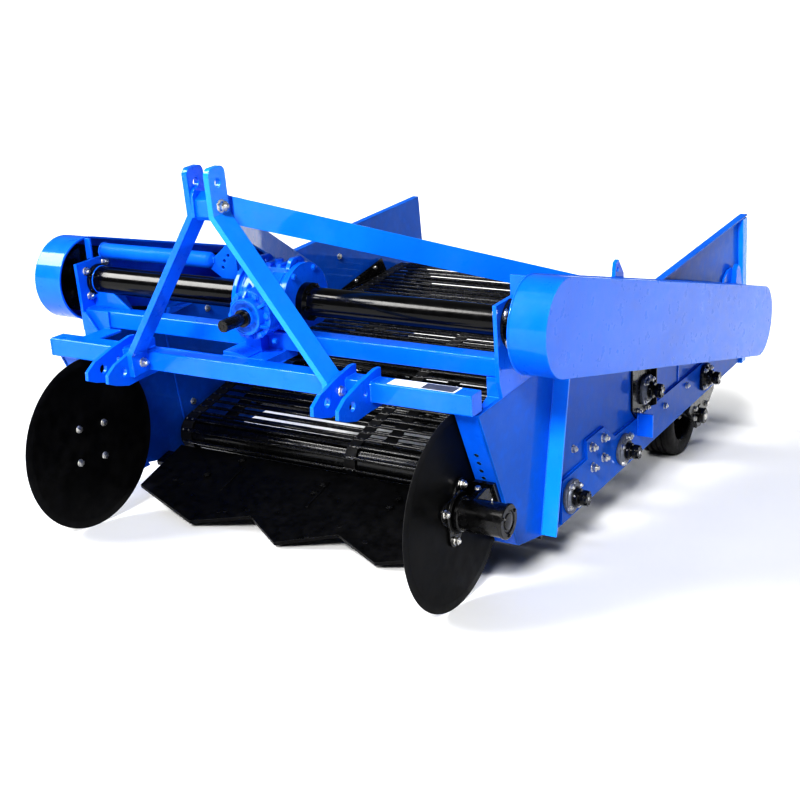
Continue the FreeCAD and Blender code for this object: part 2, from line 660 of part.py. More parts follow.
web = doc.addObject("Part::Feature", "web_loop")
outer = Part.Face(loop_wire(WT)).extrude(V(2 * v["web_half"], 0, 0))
inner = Part.Face(loop_wire(-WT)).extrude(V(2 * v["web_half"], 0, 0))
solid = outer.cut(inner)
web.Shape = solid.Solids[0] if len(solid.Solids) == 1 else solid
finish(web, "web_conveyor")

# --------------------------------------------------------- digging share
sh = v["share_half"]
tip, val, wing = 0.0, 105.0, 140.0
share_pts = [(-sh - 40, wing), (-392, tip + 16), (-196, val - 6), (-36, tip + 2), (150, val - 6), (338, tip + 10), (sh - 36, wing), (sh - 20, 395), (-sh - 54, 395)]
slope = T(0, v["share_tip_y"], v["share_tip_z"], (1, 0, 0), v["share_slope"])
prism("digging_share", "z", share_pts, "share_thick", 0, key="share", local=slope)
# flat cross bar under the share, from panel to panel
bb = box("share_bar_box", (-762, 762), (295, 365), (-16, 0), local=slope)
finish(bb, "share_bar", slope.multiply(T(-762, 295, -16)))

# ---------------------------------------------------------- coulter discs
for nm, sd in SIDES:
    dt = v["disc_thick"] / 2
    x_d = v["disc_x"]
    prof = [(-dt, 0), (100, 0), (100, v["hub_shaft"]), (16.5, v["hub_shaft"]), (16.5, 60), (dt, 60), (dt, 262), (0.6, v["disc_rad"]), (-0.6, v["disc_rad"]), (-dt, 262)]
    if sd < 0:
        prof = [(-a, r) for a, r in prof][::-1]
    turned(nm + "_disc", prof, (sd * x_d, v["disc_y"], v["disc_z"]))
    # fixed bearing housing, closed by its end cap
    h0, h1 = v["hub_in"] + 0.5, v["hub_out"]
    hp = [(h0, v["hub_shaft"] + 0.05), (h0 + 100, v["hub_shaft"] + 0.05), (h0 + 100, 0), (h1, 0), (h1, v["hub_rad"]), (h0, v["hub_rad"])]
    if sd < 0:
        hp = [(-a, r) for a, r in hp][::-1]
    hb = turned(nm + "_hub_barrel", hp, (0, v["disc_y"], v["disc_z"]), register=False)
    # carrier plate on the slanted member, with a web plate to the barrel
    x0, x1 = span(sd, 694, 760)
    dim("carrier_w", 66)
    carrier = prism(nm + "_carrier", "x", [(148.0, -229), (164.5, -229), (230.2, -373), (214.0, -373)], "carrier_w", x0, key="carrier", register=False)
    x0, x1 = span(sd, 716, 740)
    dim("cweb_w", 24)
    cweb = prism(nm + "_cweb", "x", [(78, -250), (160, -239), (217, -364), (78, -330)], "cweb_w", x0, key="cweb", register=False)
    fz = fuse(nm + "_hub_raw", [hb, carrier, cweb], register=False)
    x0, x1 = span(sd, 700, 805)
    clr = rod(nm + "_hub_clear", "x", (x0, v["disc_y"], v["disc_z"]), 101 if sd > 0 else 101, v["hub_shaft"] + 0.05, "hub_clear_rad", "hub_clear_len")
    if sd > 0:
        clr.Placement = T(700, v["disc_y"], v["disc_z"], (0, 1, 0), 90)
    else:
        clr.Placement = T(-801, v["disc_y"], v["disc_z"], (0, 1, 0), 90)
    cut(nm + "_disc_carrier", fz, clr)

# ------------------------------------------------------------ gauge wheels
for nm, sd in SIDES:
    R, w = v["wheel_rad"], v["wheel_width"]
    prof = [(0, 0), (w + 88, 0), (w + 88, v["wheel_shaft"]), (w, v["wheel_shaft"]), (w, R - 22), (w - 6, R - 8), (w - 18, R), (18, R), (6, R - 8), (0, R - 22)]
    x_in = v["wheel_in"]
    if sd < 0:
        prof = [(-a, r) for a, r in prof][::-1]
    turned(nm + "_gauge_wheel", prof, (sd * x_in, v["wheel_y"], v["wheel_z"]))
    x0, x1 = span(sd, 750, 762)
    dim("wb_w", 12)
    wy, wz = v["wheel_y"], v["wheel_z"]
    plate_b = prism(nm + "_wb_plate", "x", [(wy - 120, -470), (wy + 170, -470), (wy + 170, -560), (wy + 46, wz - 30), (wy + 20, wz - 46), (wy - 24, wz - 46), (wy - 46, wz - 20), (wy - 120, -560)],
                    "wb_w", x0, holes=[(wy, wz, v["wheel_shaft"] + 4)], key="wb", register=False)
    a0 = 762 if sd > 0 else -790
    hub = turned(nm + "_wb_hub", [(0, v["wheel_shaft"] + .05), (28, v["wheel_shaft"] + .05), (28, 30), (10, 30), (10, 45), (0, 45)] if sd > 0 else
                 [(0, v["wheel_shaft"] + .05), (28, v["wheel_shaft"] + .05), (28, 45), (18, 45), (18, 30), (0, 30)], (a0, wy, wz), register=False, key="wbh_" + nm)
    fuse(nm + "_wheel_bracket", [plate_b, hub])

# rear cross tube between the panels
finish(rod("rear_tube", "x", (-762, 2380, -505), 1524, 30), "rear_cross_tube", T(-762, 2380, -505, (0, 1, 0), 90))

doc.recompute()

# ------------------------------------------------------------- validation
bad = []
for o in doc.Objects:
    st_ = list(o.State)
    if "Invalid" in st_ or "Error" in st_:
        bad.append((o.Name, o.Label, st_))
for o in PARTS:
    if o.Shape.isNull() or not o.Shape.isValid():
        bad.append((o.Label, "shape"))
if bad:
    raise RuntimeError("failed objects: %r" % bad)

os.makedirs("parts", exist_ok=True)
for o in PARTS:
    o.Shape.exportStep("parts/%s.step" % o.Label)
print(len(PARTS), "nodes")
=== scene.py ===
import bmesh, bpy, math, random
from mathutils import Matrix, Vector
from mathutils.geometry import delaunay_2d_cdt


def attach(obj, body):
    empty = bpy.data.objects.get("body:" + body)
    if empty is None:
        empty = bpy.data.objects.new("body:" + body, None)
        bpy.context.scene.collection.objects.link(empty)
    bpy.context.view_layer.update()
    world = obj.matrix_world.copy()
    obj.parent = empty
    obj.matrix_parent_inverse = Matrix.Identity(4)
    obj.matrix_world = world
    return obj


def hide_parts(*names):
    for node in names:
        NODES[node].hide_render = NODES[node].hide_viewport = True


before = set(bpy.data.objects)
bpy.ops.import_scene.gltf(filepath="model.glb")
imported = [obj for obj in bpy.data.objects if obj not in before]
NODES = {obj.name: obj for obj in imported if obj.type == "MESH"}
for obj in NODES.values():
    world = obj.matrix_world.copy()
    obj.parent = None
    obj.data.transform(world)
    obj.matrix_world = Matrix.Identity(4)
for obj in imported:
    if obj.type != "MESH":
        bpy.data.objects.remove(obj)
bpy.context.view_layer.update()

rnd = random.Random(11)
scene = bpy.context.scene

# The machine's own working frame (mm, pitched nose-down) in the row frame (m).
PITCH = math.radians(6.2)
ROT = Matrix.Rotation(PITCH, 4, "X")
MW = Matrix.Scale(0.001, 4) @ Matrix.Translation(Vector((-15.0, -1146.1, 569.3918))) @ ROT

X, Y, Z = Vector((1, 0, 0)), Vector((0, 1, 0)), Vector((0, 0, 1))
SIDES = (("left", -1), ("right", 1))

# --------------------------------------------------------------- main sizes
HX = -8.0
CY, CZ = 266.0, 210.0
DY, DZ = 2135.0, -267.0
R1, R2_, R3, R4 = (625, -447, 60), (1060, -450, 52), (1275, -300, 62), (1915, -450, 67)
DISC = (64.0, -290.0)
Z0 = DISC[1] - 288 / math.cos(PITCH) + math.tan(PITCH) * DISC[0]
WHEEL = (1903.0, Z0 - math.tan(PITCH) * 1903 + 170 / math.cos(PITCH))


# ------------------------------------------------------------- mesh helpers
def perp(w):
    w = w.normalized()
    a = Z if abs(w.z) < 0.9 else X
    u = a.cross(w).normalized()
    return u, w.cross(u).normalized(), w


class Piece:
    """One joined mesh, gathered in the machine's working frame in mm."""

    def __init__(self, name):
        self.name, self.v, self.f, self.m = name, [], [], []

    def add(self, vf, mat=0):
        v, f = vf
        o = len(self.v)
        self.v += v
        self.f += [tuple(i + o for i in q) for q in f]
        self.m += [mat] * len(f)
        return self

    def make(self, body, slot, mats, replaces=(), sharp=32):
        me = bpy.data.meshes.new(self.name)
        me.from_pydata([MW @ Vector(p) for p in self.v], [], self.f)
        for m in mats:
            me.materials.append(m)
        me.polygons.foreach_set("material_index", self.m)
        me.validate()
        bm = bmesh.new()
        bm.from_mesh(me)
        bmesh.ops.recalc_face_normals(bm, faces=bm.faces)
        bm.to_mesh(me)
        bm.free()
        me.update()
        me.shade_smooth()
        me.set_sharp_from_angle(angle=math.radians(sharp))
        ob = bpy.data.objects.new(self.name, me)
        scene.collection.objects.link(ob)
        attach(ob, body)
        if replaces:
            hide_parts(*replaces)
        return ob


def lathe(profile, origin, axis, seg=24, phase=0.0):
    """Turned piece: profile is (along, radius) from one end to the other."""
    u, w, n = perp(Vector(axis))
    o = Vector(origin)
    v, f, rings = [], [], []
    pr = list(profile)
    if pr[0][1] > 1e-6:
        pr = [(pr[0][0], 0.0)] + pr
    if pr[-1][1] > 1e-6:
        pr = pr + [(pr[-1][0], 0.0)]
    for a, r in pr:
        if r < 1e-6:
            rings.append([len(v)])
            v.append(tuple(o + n * a))
        else:
            rings.append(list(range(len(v), len(v) + seg)))
            for i in range(seg):
                t = phase + 2 * math.pi * i / seg
                v.append(tuple(o + n * a + (u * math.cos(t) + w * math.sin(t)) * r))
    for p, q in zip(rings, rings[1:]):
        if len(p) == 1 and len(q) == 1:
            continue
        for i in range(seg):
            j = (i + 1) % seg
            if len(p) == 1:
                f.append((p[0], q[j], q[i]))
            elif len(q) == 1:
                f.append((p[i], p[j], q[0]))
            else:
                f.append((p[i], p[j], q[j], q[i]))
    return v, f


def ring(profile, origin, axis, seg=32):
    """Turned ring from a closed (along, radius) section that doesn't meet the axis."""
    u, w, n = perp(Vector(axis))
    o = Vector(origin)
    v, f = [], []
    k = len(profile)
    for i in range(seg):
        t = 2 * math.pi * i / seg
        d = u * math.cos(t) + w * math.sin(t)
        v += [tuple(o + n * a + d * r) for a, r in profile]
    for i in range(seg):
        for j in range(k):
            a, b = i * k + j, i * k + (j + 1) % k
            c, d = ((i + 1) % seg) * k + (j + 1) % k, ((i + 1) % seg) * k + j
            f.append((a, b, c, d))
    return v, f


def inset(poly, b):
    """Polygon moved inward by b (mitred)."""
    n = len(poly)
    area = sum(poly[i][0] * poly[(i + 1) % n][1] - poly[(i + 1) % n][0] * poly[i][1] for i in range(n))
    s = 1 if area > 0 else -1
    out = []
    for i in range(n):
        p0, p1, p2 = Vector(poly[i - 1]), Vector(poly[i]), Vector(poly[(i + 1) % n])
        d1, d2 = (p1 - p0).normalized(), (p2 - p1).normalized()
        n1, n2 = Vector((-d1.y, d1.x)) * s, Vector((-d2.y, d2.x)) * s
        m = (n1 + n2)
        k = b / max(0.35, (1 + n1.dot(n2)) / 2) / 2
        out.append(tuple(p1 + m * k))
    return out


def prism(poly, origin, ux, uy, uz, t, b=1.0):
    """Plate of polygon outline in (ux, uy), t thick along uz, edges chamfered by b."""
    o, ux, uy, uz = Vector(origin), Vector(ux), Vector(uy), Vector(uz)
    n = len(poly)
    ins = inset(poly, b) if b > 0 else poly
    rows = [(ins, 0), (poly, b), (poly, t - b), (ins, t)] if b > 0 else [(poly, 0), (poly, t)]
    v = []
    for pl, h in rows:
        v += [tuple(o + ux * p[0] + uy * p[1] + uz * h) for p in pl]
    f = [tuple(range(n - 1, -1, -1)), tuple(range((len(rows) - 1) * n, len(rows) * n))]
    for k in range(len(rows) - 1):
        for i in range(n):
            j = (i + 1) % n
            f.append((k * n + i, k * n + j, (k + 1) * n + j, (k + 1) * n + i))
    return v, f


def px(poly, x0, x1, b=1.0):
    """Plate of outline (y, z), between two x positions."""
    return prism(poly, (min(x0, x1), 0, 0), Y, Z, X, abs(x1 - x0), b)


def slab(x, y, z, b=1.2):
    return prism([(y[0], z[0]), (y[1], z[0]), (y[1], z[1]), (y[0], z[1])], (x[0], 0, 0), Y, Z, X, x[1] - x[0], b)


def holed(poly, holes, origin, ux, uy, uz, t):
    """Plate with round holes (cx, cy, r), cut right through."""
    o, ux, uy, uz = Vector(origin), Vector(ux), Vector(uy), Vector(uz)
    pts, edges, loops = [], [], []
    for loop in [poly] + [[(c[0] + c[2] * math.cos(2 * math.pi * i / 20), c[1] + c[2] * math.sin(2 * math.pi * i / 20)) for i in range(20)] for c in holes]:
        s = len(pts)
        pts += [Vector(p) for p in loop]
        e = [(s + i, s + (i + 1) % len(loop)) for i in range(len(loop))]
        edges += e
        loops.append(e)
    vo, eo, fo, *_ = delaunay_2d_cdt(pts, edges, [], 1, 1e-5)
    keep = []
    for q in fo:
        c = sum((vo[i] for i in q), Vector((0, 0))) / len(q)
        if all((c - Vector(h[:2])).length > h[2] * 0.97 for h in holes):
            keep.append(tuple(q))
    n = len(vo)
    v = [tuple(o + ux * p.x + uy * p.y) for p in vo] + [tuple(o + ux * p.x + uy * p.y + uz * t) for p in vo]
    f = [tuple(reversed(q)) for q in keep] + [tuple(i + n for i in q) for q in keep]
    used = {}
    for q in keep:
        for i in range(len(q)):
            a, b = q[i], q[(i + 1) % len(q)]
            used[(a, b)] = used.get((a, b), 0) + 1
    for (a, b) in used:
        if (b, a) not in used:
            f.append((a, b, b + n, a + n))
    return v, f


def frames(path, closed=False):
    n = len(path)
    tan = []
    for i in range(n):
        a = path[i - 1] if (i > 0 or closed) else path[i]
        b = path[(i + 1) % n] if (i < n - 1 or closed) else path[i]
        tan.append((b - a).normalized())
    u, w, _ = perp(tan[0])
    out = []
    for i in range(n):
        u = (u - tan[i] * u.dot(tan[i])).normalized()
        out.append((u, tan[i].cross(u).normalized()))
    return out


def tube(path, r, seg=10, cap=True, radii=None):
    path = [Vector(p) for p in path]
    fr = frames(path)
    v, f = [], []
    for i, p in enumerate(path):
        rr = radii[i] if radii else r
        for k in range(seg):
            t = 2 * math.pi * k / seg
            v.append(tuple(p + (fr[i][0] * math.cos(t) + fr[i][1] * math.sin(t)) * rr))
    for i in range(len(path) - 1):
        for k in range(seg):
            j = (k + 1) % seg
            f.append((i * seg + k, i * seg + j, (i + 1) * seg + j, (i + 1) * seg + k))
    if cap:
        f.append(tuple(range(seg - 1, -1, -1)))
        f.append(tuple((len(path) - 1) * seg + k for k in range(seg)))
    return v, f


def resample(pts, step, closed=False):
    pts = [Vector(p) for p in pts]
    if closed:
        pts = pts + [pts[0]]
    out = []
    for a, b in zip(pts, pts[1:]):
        n = max(1, int((b - a).length / step))
        out += [a.lerp(b, i / n) for i in range(n)]
    out.append(pts[-1])
    return out


def bead(pts, r=3.6, step=3.2, closed=False):
    """Weld bead: a rippled run of overlapping scallops."""
    p = resample(pts, step, closed)
    rad = []
    for i in range(len(p)):
        e = 0.55 if (not closed and i in (0, len(p) - 1)) else 1.0
        rad.append(r * e * (1.0 + 0.16 * math.sin(i * 2.1) + rnd.uniform(-0.10, 0.10)))
    p = [q + Vector((rnd.uniform(-.25, .25), rnd.uniform(-.25, .25), rnd.uniform(-.25, .25))) for q in p]
    return tube(p, r, 7, True, rad)


def circle(c, axis, r, n=48, a0=0.0, a1=2 * math.pi, ref=None):
    u, w, _ = perp(Vector(axis))
    if ref is not None:
        u = Vector(ref).normalized()
        w = Vector(axis).normalized().cross(u)
    c = Vector(c)
    m = n if abs(a1 - a0) >= 2 * math.pi - 1e-6 else n + 1
    return [c + (u * math.cos(a0 + (a1 - a0) * i / n) + w * math.sin(a0 + (a1 - a0) * i / n)) * r for i in range(m)]


def hexagon(c, axis, af, h, phase=0.0):
    """Hexagon head with its corners chamfered."""
    R = af / math.sqrt(3)
    k = 0.10 * af
    u, w, n = perp(Vector(axis))
    c = Vector(c)
    v, f = [], []
    rows = [(0, R * .985, 6), (k * .35, R, 6), (h - k * .55, R, 6), (h - .1, R * .86, 6), (h, R * .80, 6)]
    for a, r, s in rows:
        for i in range(6):
            t = phase + math.pi * i / 3
            v.append(tuple(c + n * a + (u * math.cos(t) + w * math.sin(t)) * r))
    for k2 in range(len(rows) - 1):
        for i in range(6):
            j = (i + 1) % 6
            f.append((k2 * 6 + i, k2 * 6 + j, (k2 + 1) * 6 + j, (k2 + 1) * 6 + i))
    f.append(tuple(range(5, -1, -1)))
    f.append(tuple((len(rows) - 1) * 6 + i for i in range(6)))
    return v, f


def join(*parts):
    v, f = [], []
    for a, b in parts:
        o = len(v)
        v += a
        f += [tuple(i + o for i in q) for q in b]
    return v, f


def bolt(c, axis, d=12.0, washer=True, head=True, stud=0.0, turn=None):
    """Bolt head or nut on its washer, with a length of threaded end past it."""
    c, a = Vector(c), Vector(axis).normalized()
    ph = rnd.uniform(0, 1) if turn is None else turn
    out = []
    z = 0.0
    if washer:
        t = 0.18 * d
        out.append(lathe([(0, 1.08 * d), (t * .6, 1.1 * d), (t, 1.04 * d)], c, a, 20))
        z = t
    h = (0.62 if head else 0.8) * d
    out.append(hexagon(c + a * z, a, 1.62 * d, h, ph))
    z += h
    if stud > 0:
        pr = [(z - .2, d * .46)]
        k = 0.0
        while k < stud - 1.2:
            pr += [(z + k, d * .5), (z + k + .8, d * .44)]
            k += 1.6
        pr += [(z + stud - .6, d * .46), (z + stud, d * .36)]
        out.append(lathe(pr, c, a, 12))
    else:
        out.append(lathe([(z - .1, d * .42), (z + .02 * d, d * .34)], c, a, 12))
    return join(*out)


# ------------------------------------------------------------ material kit
class Graph:
    def __init__(self, name):
        self.m = bpy.data.materials.new(name)
        self.m.use_nodes = True
        self.t = self.m.node_tree
        self.t.nodes.clear()
        self.out = self.t.nodes.new("ShaderNodeOutputMaterial")
        self.b = self.t.nodes.new("ShaderNodeBsdfPrincipled")
        self.t.links.new(self.b.outputs[0], self.out.inputs[0])
        self.co = self.node("ShaderNodeTexCoord").outputs["Object"]

    def node(self, kind, **kw):
        n = self.t.nodes.new(kind)
        for k, val in kw.items():
            setattr(n, k, val)
        return n

    def link(self, a, b):
        self.t.links.new(a, b)

    def set(self, **kw):
        for k, val in kw.items():
            self.b.inputs[k.replace("_", " ")].default_value = val

    def noise(self, scale, detail=3.0, rough=0.55, co=None, dist=0.0):
        n = self.node("ShaderNodeTexNoise")
        n.inputs["Scale"].default_value = scale
        n.inputs["Detail"].default_value = detail
        n.inputs["Roughness"].default_value = rough
        n.inputs["Distortion"].default_value = dist
        self.link(co or self.co, n.inputs["Vector"])
        return n.outputs["Fac"]

    def voronoi(self, scale, feature="F1", co=None):
        n = self.node("ShaderNodeTexVoronoi", feature=feature)
        n.inputs["Scale"].default_value = scale
        self.link(co or self.co, n.inputs["Vector"])
        return n.outputs["Distance"]

    def stretch(self, s, co=None):
        n = self.node("ShaderNodeMapping")
        n.inputs["Scale"].default_value = s
        self.link(co or self.co, n.inputs["Vector"])
        return n.outputs[0]

    def ramp(self, fac, stops):
        n = self.node("ShaderNodeValToRGB")
        e = n.color_ramp.elements
        while len(e) < len(stops):
            e.new(0.5)
        for el, (p, c) in zip(e, stops):
            el.position = p
            el.color = (c[0], c[1], c[2], 1) if isinstance(c, tuple) else (c, c, c, 1)
        self.link(fac, n.inputs[0])
        return n.outputs[0]

    def range(self, fac, a, b, c, d):
        n = self.node("ShaderNodeMapRange")
        for i, val in zip((1, 2, 3, 4), (a, b, c, d)):
            n.inputs[i].default_value = val
        self.link(fac, n.inputs[0])
        return n.outputs[0]

    def math(self, op, a, b=None, clamp=False):
        n = self.node("ShaderNodeMath", operation=op, use_clamp=clamp)
        for i, q in enumerate((a, b)):
            if q is None:
                continue
            if isinstance(q, (int, float)):
                n.inputs[i].default_value = q
            else:
                self.link(q, n.inputs[i])
        return n.outputs[0]

    def mix(self, fac, a, b, mode="MIX"):
        n = self.node("ShaderNodeMix", data_type="RGBA", blend_type=mode)
        for i, q in ((0, fac), (6, a), (7, b)):
            if isinstance(q, (int, float)):
                n.inputs[i].default_value = q
            elif isinstance(q, tuple):
                n.inputs[i].default_value = (q[0], q[1], q[2], 1)
            else:
                self.link(q, n.inputs[i])
        return n.outputs[2]

    def edges(self, radius=0.003, samples=4):
        """(bevelled normal, 0..1 mask that is high on convex corners)."""
        bv = self.node("ShaderNodeBevel", samples=samples)
        bv.inputs["Radius"].default_value = radius
        g = self.node("ShaderNodeNewGeometry")
        d = self.node("ShaderNodeVectorMath", operation="DOT_PRODUCT")
        self.link(bv.outputs[0], d.inputs[0])
        self.link(g.outputs["Normal"], d.inputs[1])
        return bv.outputs[0], self.range(d.outputs["Value"], 0.995, 0.80, 0.0, 1.0)

    def bump(self, height, strength, distance, normal=None):
        n = self.node("ShaderNodeBump")
        n.inputs["Strength"].default_value = strength
        n.inputs["Distance"].default_value = distance
        self.link(height, n.inputs["Height"])
        if normal is not None:
            self.link(normal, n.inputs["Normal"])
        return n.outputs[0]

    def done(self, color=None, rough=None, normal=None, metal=None):
        if color is not None:
            self.link(color, self.b.inputs["Base Color"])
        if rough is not None:
            self.link(rough, self.b.inputs["Roughness"])
        if normal is not None:
            self.link(normal, self.b.inputs["Normal"])
        if metal is not None:
            self.link(metal, self.b.inputs["Metallic"])
        return self.m


def blue_paint(name, deep=(0.0012, 0.125, 0.70), light=(0.0025, 0.160, 0.84), edge=(0.030, 0.33, 0.98), r0=0.24, r1=0.40, cast=0.0, coat=0.58):
    g = Graph(name)
    big, mid, fine = g.noise(2.3, 3), g.noise(24, 4), g.noise(520, 2)
    col = g.ramp(big, [(0.30, deep), (0.70, light)])
    col = g.mix(g.range(mid, 0.50, 0.80, 0.0, 0.28), col, (0.004, 0.19, 0.92))
    nrm, em = g.edges(0.0028)
    # convex edges mixed towards a brighter blue: a painted edge highlight, patchy by noise
    painted_edge_highlight = g.math("MULTIPLY", em, g.range(g.noise(60, 4), 0.30, 0.62, 0.35, 1.0))
    col = g.mix(g.math("MULTIPLY", painted_edge_highlight, 0.75), col, edge)
    chip = g.math("MULTIPLY", em, g.range(g.noise(95, 5, 0.7), 0.63, 0.68, 0.0, 1.0))
    col = g.mix(chip, col, (0.10, 0.11, 0.13))
    dust = g.math("MULTIPLY", g.range(g.noise(5.5, 6, 0.65), 0.52, 0.80, 0.0, 0.05), 1.0)
    col = g.mix(dust, col, (0.42, 0.46, 0.52))
    rough = g.math("ADD", g.range(mid, 0.3, 0.7, r0, r1), g.math("MULTIPLY", dust, 1.6), True)
    n1 = g.bump(fine, 0.22 + cast, 0.00045, nrm)
    n2 = g.bump(g.noise(75, 3), 0.30 + cast, 0.0007 + 0.002 * cast, n1)
    n3 = g.bump(big, 0.25, 0.004, n2)
    c1 = g.bump(g.noise(210, 2), 0.10 + cast, 0.00010 + 0.0006 * cast, nrm)
    c2 = g.bump(g.noise(9, 2), 0.12, 0.0010, c1)
    g.set(Coat_Weight=coat, Coat_Roughness=0.03, IOR=1.40, Specular_IOR_Level=0.10)
    g.link(c2, g.b.inputs["Coat Normal"])
    return g.done(col, rough, n3)


def black_paint(name, base=0.0022, hi=0.0060, r0=0.14, r1=0.34, edge=(0.035, 0.036, 0.040), coat=0.35, dusty=0.025, spec=0.35):
    g = Graph(name)
    big, mid, fine = g.noise(3.1, 3), g.noise(38, 4), g.noise(480, 2)
    col = g.ramp(mid, [(0.35, (base, base, base * 1.1)), (0.70, (hi, hi, hi * 1.12))])
    nrm, em = g.edges(0.0022)
    # convex edges mixed towards grey: a painted edge highlight, patchy by noise
    painted_edge_highlight = g.math("MULTIPLY", em, g.range(g.noise(70, 4), 0.38, 0.66, 0.1, 0.8))
    col = g.mix(painted_edge_highlight, col, edge)
    dust = g.range(g.noise(7.0, 6, 0.65), 0.50, 0.82, 0.0, dusty)
    col = g.mix(dust, col, (0.23, 0.22, 0.21))
    rough = g.math("ADD", g.range(mid, 0.3, 0.7, r0, r1), g.math("MULTIPLY", dust, 2.0), True)
    n1 = g.bump(fine, 0.25, 0.0004, nrm)
    n2 = g.bump(g.noise(90, 3), 0.30, 0.0006, n1)
    g.set(Coat_Weight=coat, Coat_Roughness=0.06, Specular_IOR_Level=spec)
    return g.done(col, rough, n2)


def plated(name, tint=(0.78, 0.77, 0.74), r0=0.22, r1=0.42):
    g = Graph(name)
    mid = g.noise(150, 4)
    col = g.ramp(mid, [(0.30, tuple(c * 0.62 for c in tint)), (0.62, tint)])
    col = g.mix(g.range(g.noise(34, 5), 0.56, 0.75, 0.0, 0.5), col, (0.42, 0.38, 0.30))
    nrm, em = g.edges(0.0009)
    n1 = g.bump(g.noise(700, 3), 0.25, 0.0003, nrm)
    g.set(Metallic=1.0)
    return g.done(col, g.range(mid, 0.3, 0.7, r0, r1), n1)


def cast_grey(name):
    g = Graph(name)
    mid = g.noise(60, 5)
    col = g.ramp(mid, [(0.30, (0.10, 0.108, 0.13)), (0.70, (0.19, 0.205, 0.245))])
    nrm, em = g.edges(0.0018)
    # convex edges mixed towards a light grey: a painted edge highlight
    col = g.mix(g.math("MULTIPLY", em, 0.5), col, (0.36, 0.38, 0.44))
    n1 = g.bump(g.noise(380, 4), 0.55, 0.0007, nrm)
    g.set(Metallic=0.35, Coat_Weight=0.15, Coat_Roughness=0.2)
    return g.done(col, g.range(mid, 0.3, 0.7, 0.30, 0.50), n1)


def rubber(name, base=(0.007, 0.007, 0.0076), dusty=0.12, scale=1.0):
    g = Graph(name)
    mid = g.noise(46, 5)
    col = g.ramp(mid, [(0.30, tuple(c * .7 for c in base)), (0.72, tuple(c * 1.7 for c in base))])
    nrm, em = g.edges(0.0025)
    # convex edges mixed towards grey: a painted edge highlight
    col = g.mix(g.math("MULTIPLY", em, 0.5), col, (0.055, 0.055, 0.058))
    dust = g.range(g.noise(9.0, 6, 0.65), 0.45, 0.80, 0.0, dusty)
    col = g.mix(dust, col, (0.20, 0.185, 0.165))
    n1 = g.bump(g.noise(650, 3), 0.4, 0.0004 * scale, nrm)
    n2 = g.bump(g.voronoi(160), 0.15, 0.0006 * scale, n1)
    g.set(Specular_IOR_Level=0.3)
    return g.done(col, g.range(mid, 0.3, 0.7, 0.42, 0.66), n2)


def disc_steel(name, y, z):
    """Black painted disc with turning rings about its axle at (y, z), in metres."""
    g = Graph(name)
    sep = g.node("ShaderNodeSeparateXYZ")
    g.link(g.co, sep.inputs[0])
    dy = g.math("SUBTRACT", sep.outputs[1], y)
    dz = g.math("SUBTRACT", sep.outputs[2], z)
    rad = g.math("SQRT", g.math("ADD", g.math("MULTIPLY", dy, dy), g.math("MULTIPLY", dz, dz)))
    cmb = g.node("ShaderNodeCombineXYZ")
    g.link(rad, cmb.inputs[0])
    rings = g.noise(420, 3, 0.6, cmb.outputs[0])
    mid = g.noise(26, 5)
    col = g.ramp(mid, [(0.32, (0.0020, 0.0020, 0.0022)), (0.70, (0.0060, 0.0060, 0.0065))])
    rim = g.range(rad, 0.262, 0.287, 0.0, 1.0)
    col = g.mix(g.math("MULTIPLY", rim, g.range(g.noise(30, 5), 0.30, 0.62, 0.10, 0.75)), col, (0.018, 0.018, 0.019))
    nrm, em = g.edges(0.002)
    # convex edges mixed towards a light grey: a painted edge highlight
    col = g.mix(g.math("MULTIPLY", em, 0.45), col, (0.13, 0.13, 0.135))
    dust = g.range(g.noise(6.5, 6, 0.7), 0.46, 0.80, 0.0, 0.04)
    col = g.mix(dust, col, (0.20, 0.19, 0.18))
    n1 = g.bump(rings, 0.20, 0.0004, nrm)
    n2 = g.bump(g.noise(430, 2), 0.2, 0.0004, n1)
    g.set(Coat_Weight=0.0, Specular_IOR_Level=0.10)
    return g.done(col, g.math("ADD", g.range(mid, 0.3, 0.7, 0.34, 0.52), dust, True), n2)


def label(name, a, b, lines=0.0):
    g = Graph(name)
    mid = g.noise(120, 4)
    col = g.ramp(mid, [(0.35, a), (0.65, b)])
    col = g.mix(g.range(g.noise(20, 5), 0.60, 0.80, 0.0, 0.35), col, (0.45, 0.45, 0.44))
    n1 = g.bump(g.noise(300, 2), 0.15, 0.0003)
    return g.done(col, g.range(mid, 0.3, 0.7, 0.28, 0.45), n1)


def floor_mat():
    g = Graph("pale_floor")
    n = g.noise(1.4, 4)
    col = g.ramp(n, [(0.3, (0.84, 0.845, 0.85)), (0.7, (0.87, 0.875, 0.88))])
    n1 = g.bump(g.noise(45, 3), 0.05, 0.001)
    return g.done(col, g.range(n, 0.3, 0.7, 0.62, 0.74), n1)


BLUE = blue_paint("gloss_blue_paint")
CAST = blue_paint("cast_blue_paint", r0=0.20, r1=0.38, cast=0.35)
WELD = blue_paint("weld_blue_paint", deep=(0.003, 0.12, 0.70), light=(0.008, 0.17, 0.84), r0=0.20, r1=0.40, cast=0.15)
# side panel and rail paint: a darker copy of the blue with less coat, for painted shade on these faces
SHADE_DARK_PANEL_PAINT = blue_paint("shade_darkened_panel_blue_paint", deep=(0.0010, 0.095, 0.47), light=(0.0018, 0.122, 0.58), r0=0.30, r1=0.46, coat=0.26)
# stay tube paint: a darker, duller copy of the blue, for painted shade on the tube
SHADE_DARK_STAY_PAINT = blue_paint("shade_darkened_stay_blue_paint", deep=(0.0010, 0.100, 0.56), light=(0.0020, 0.130, 0.68), r0=0.48, r1=0.62, coat=0.05)
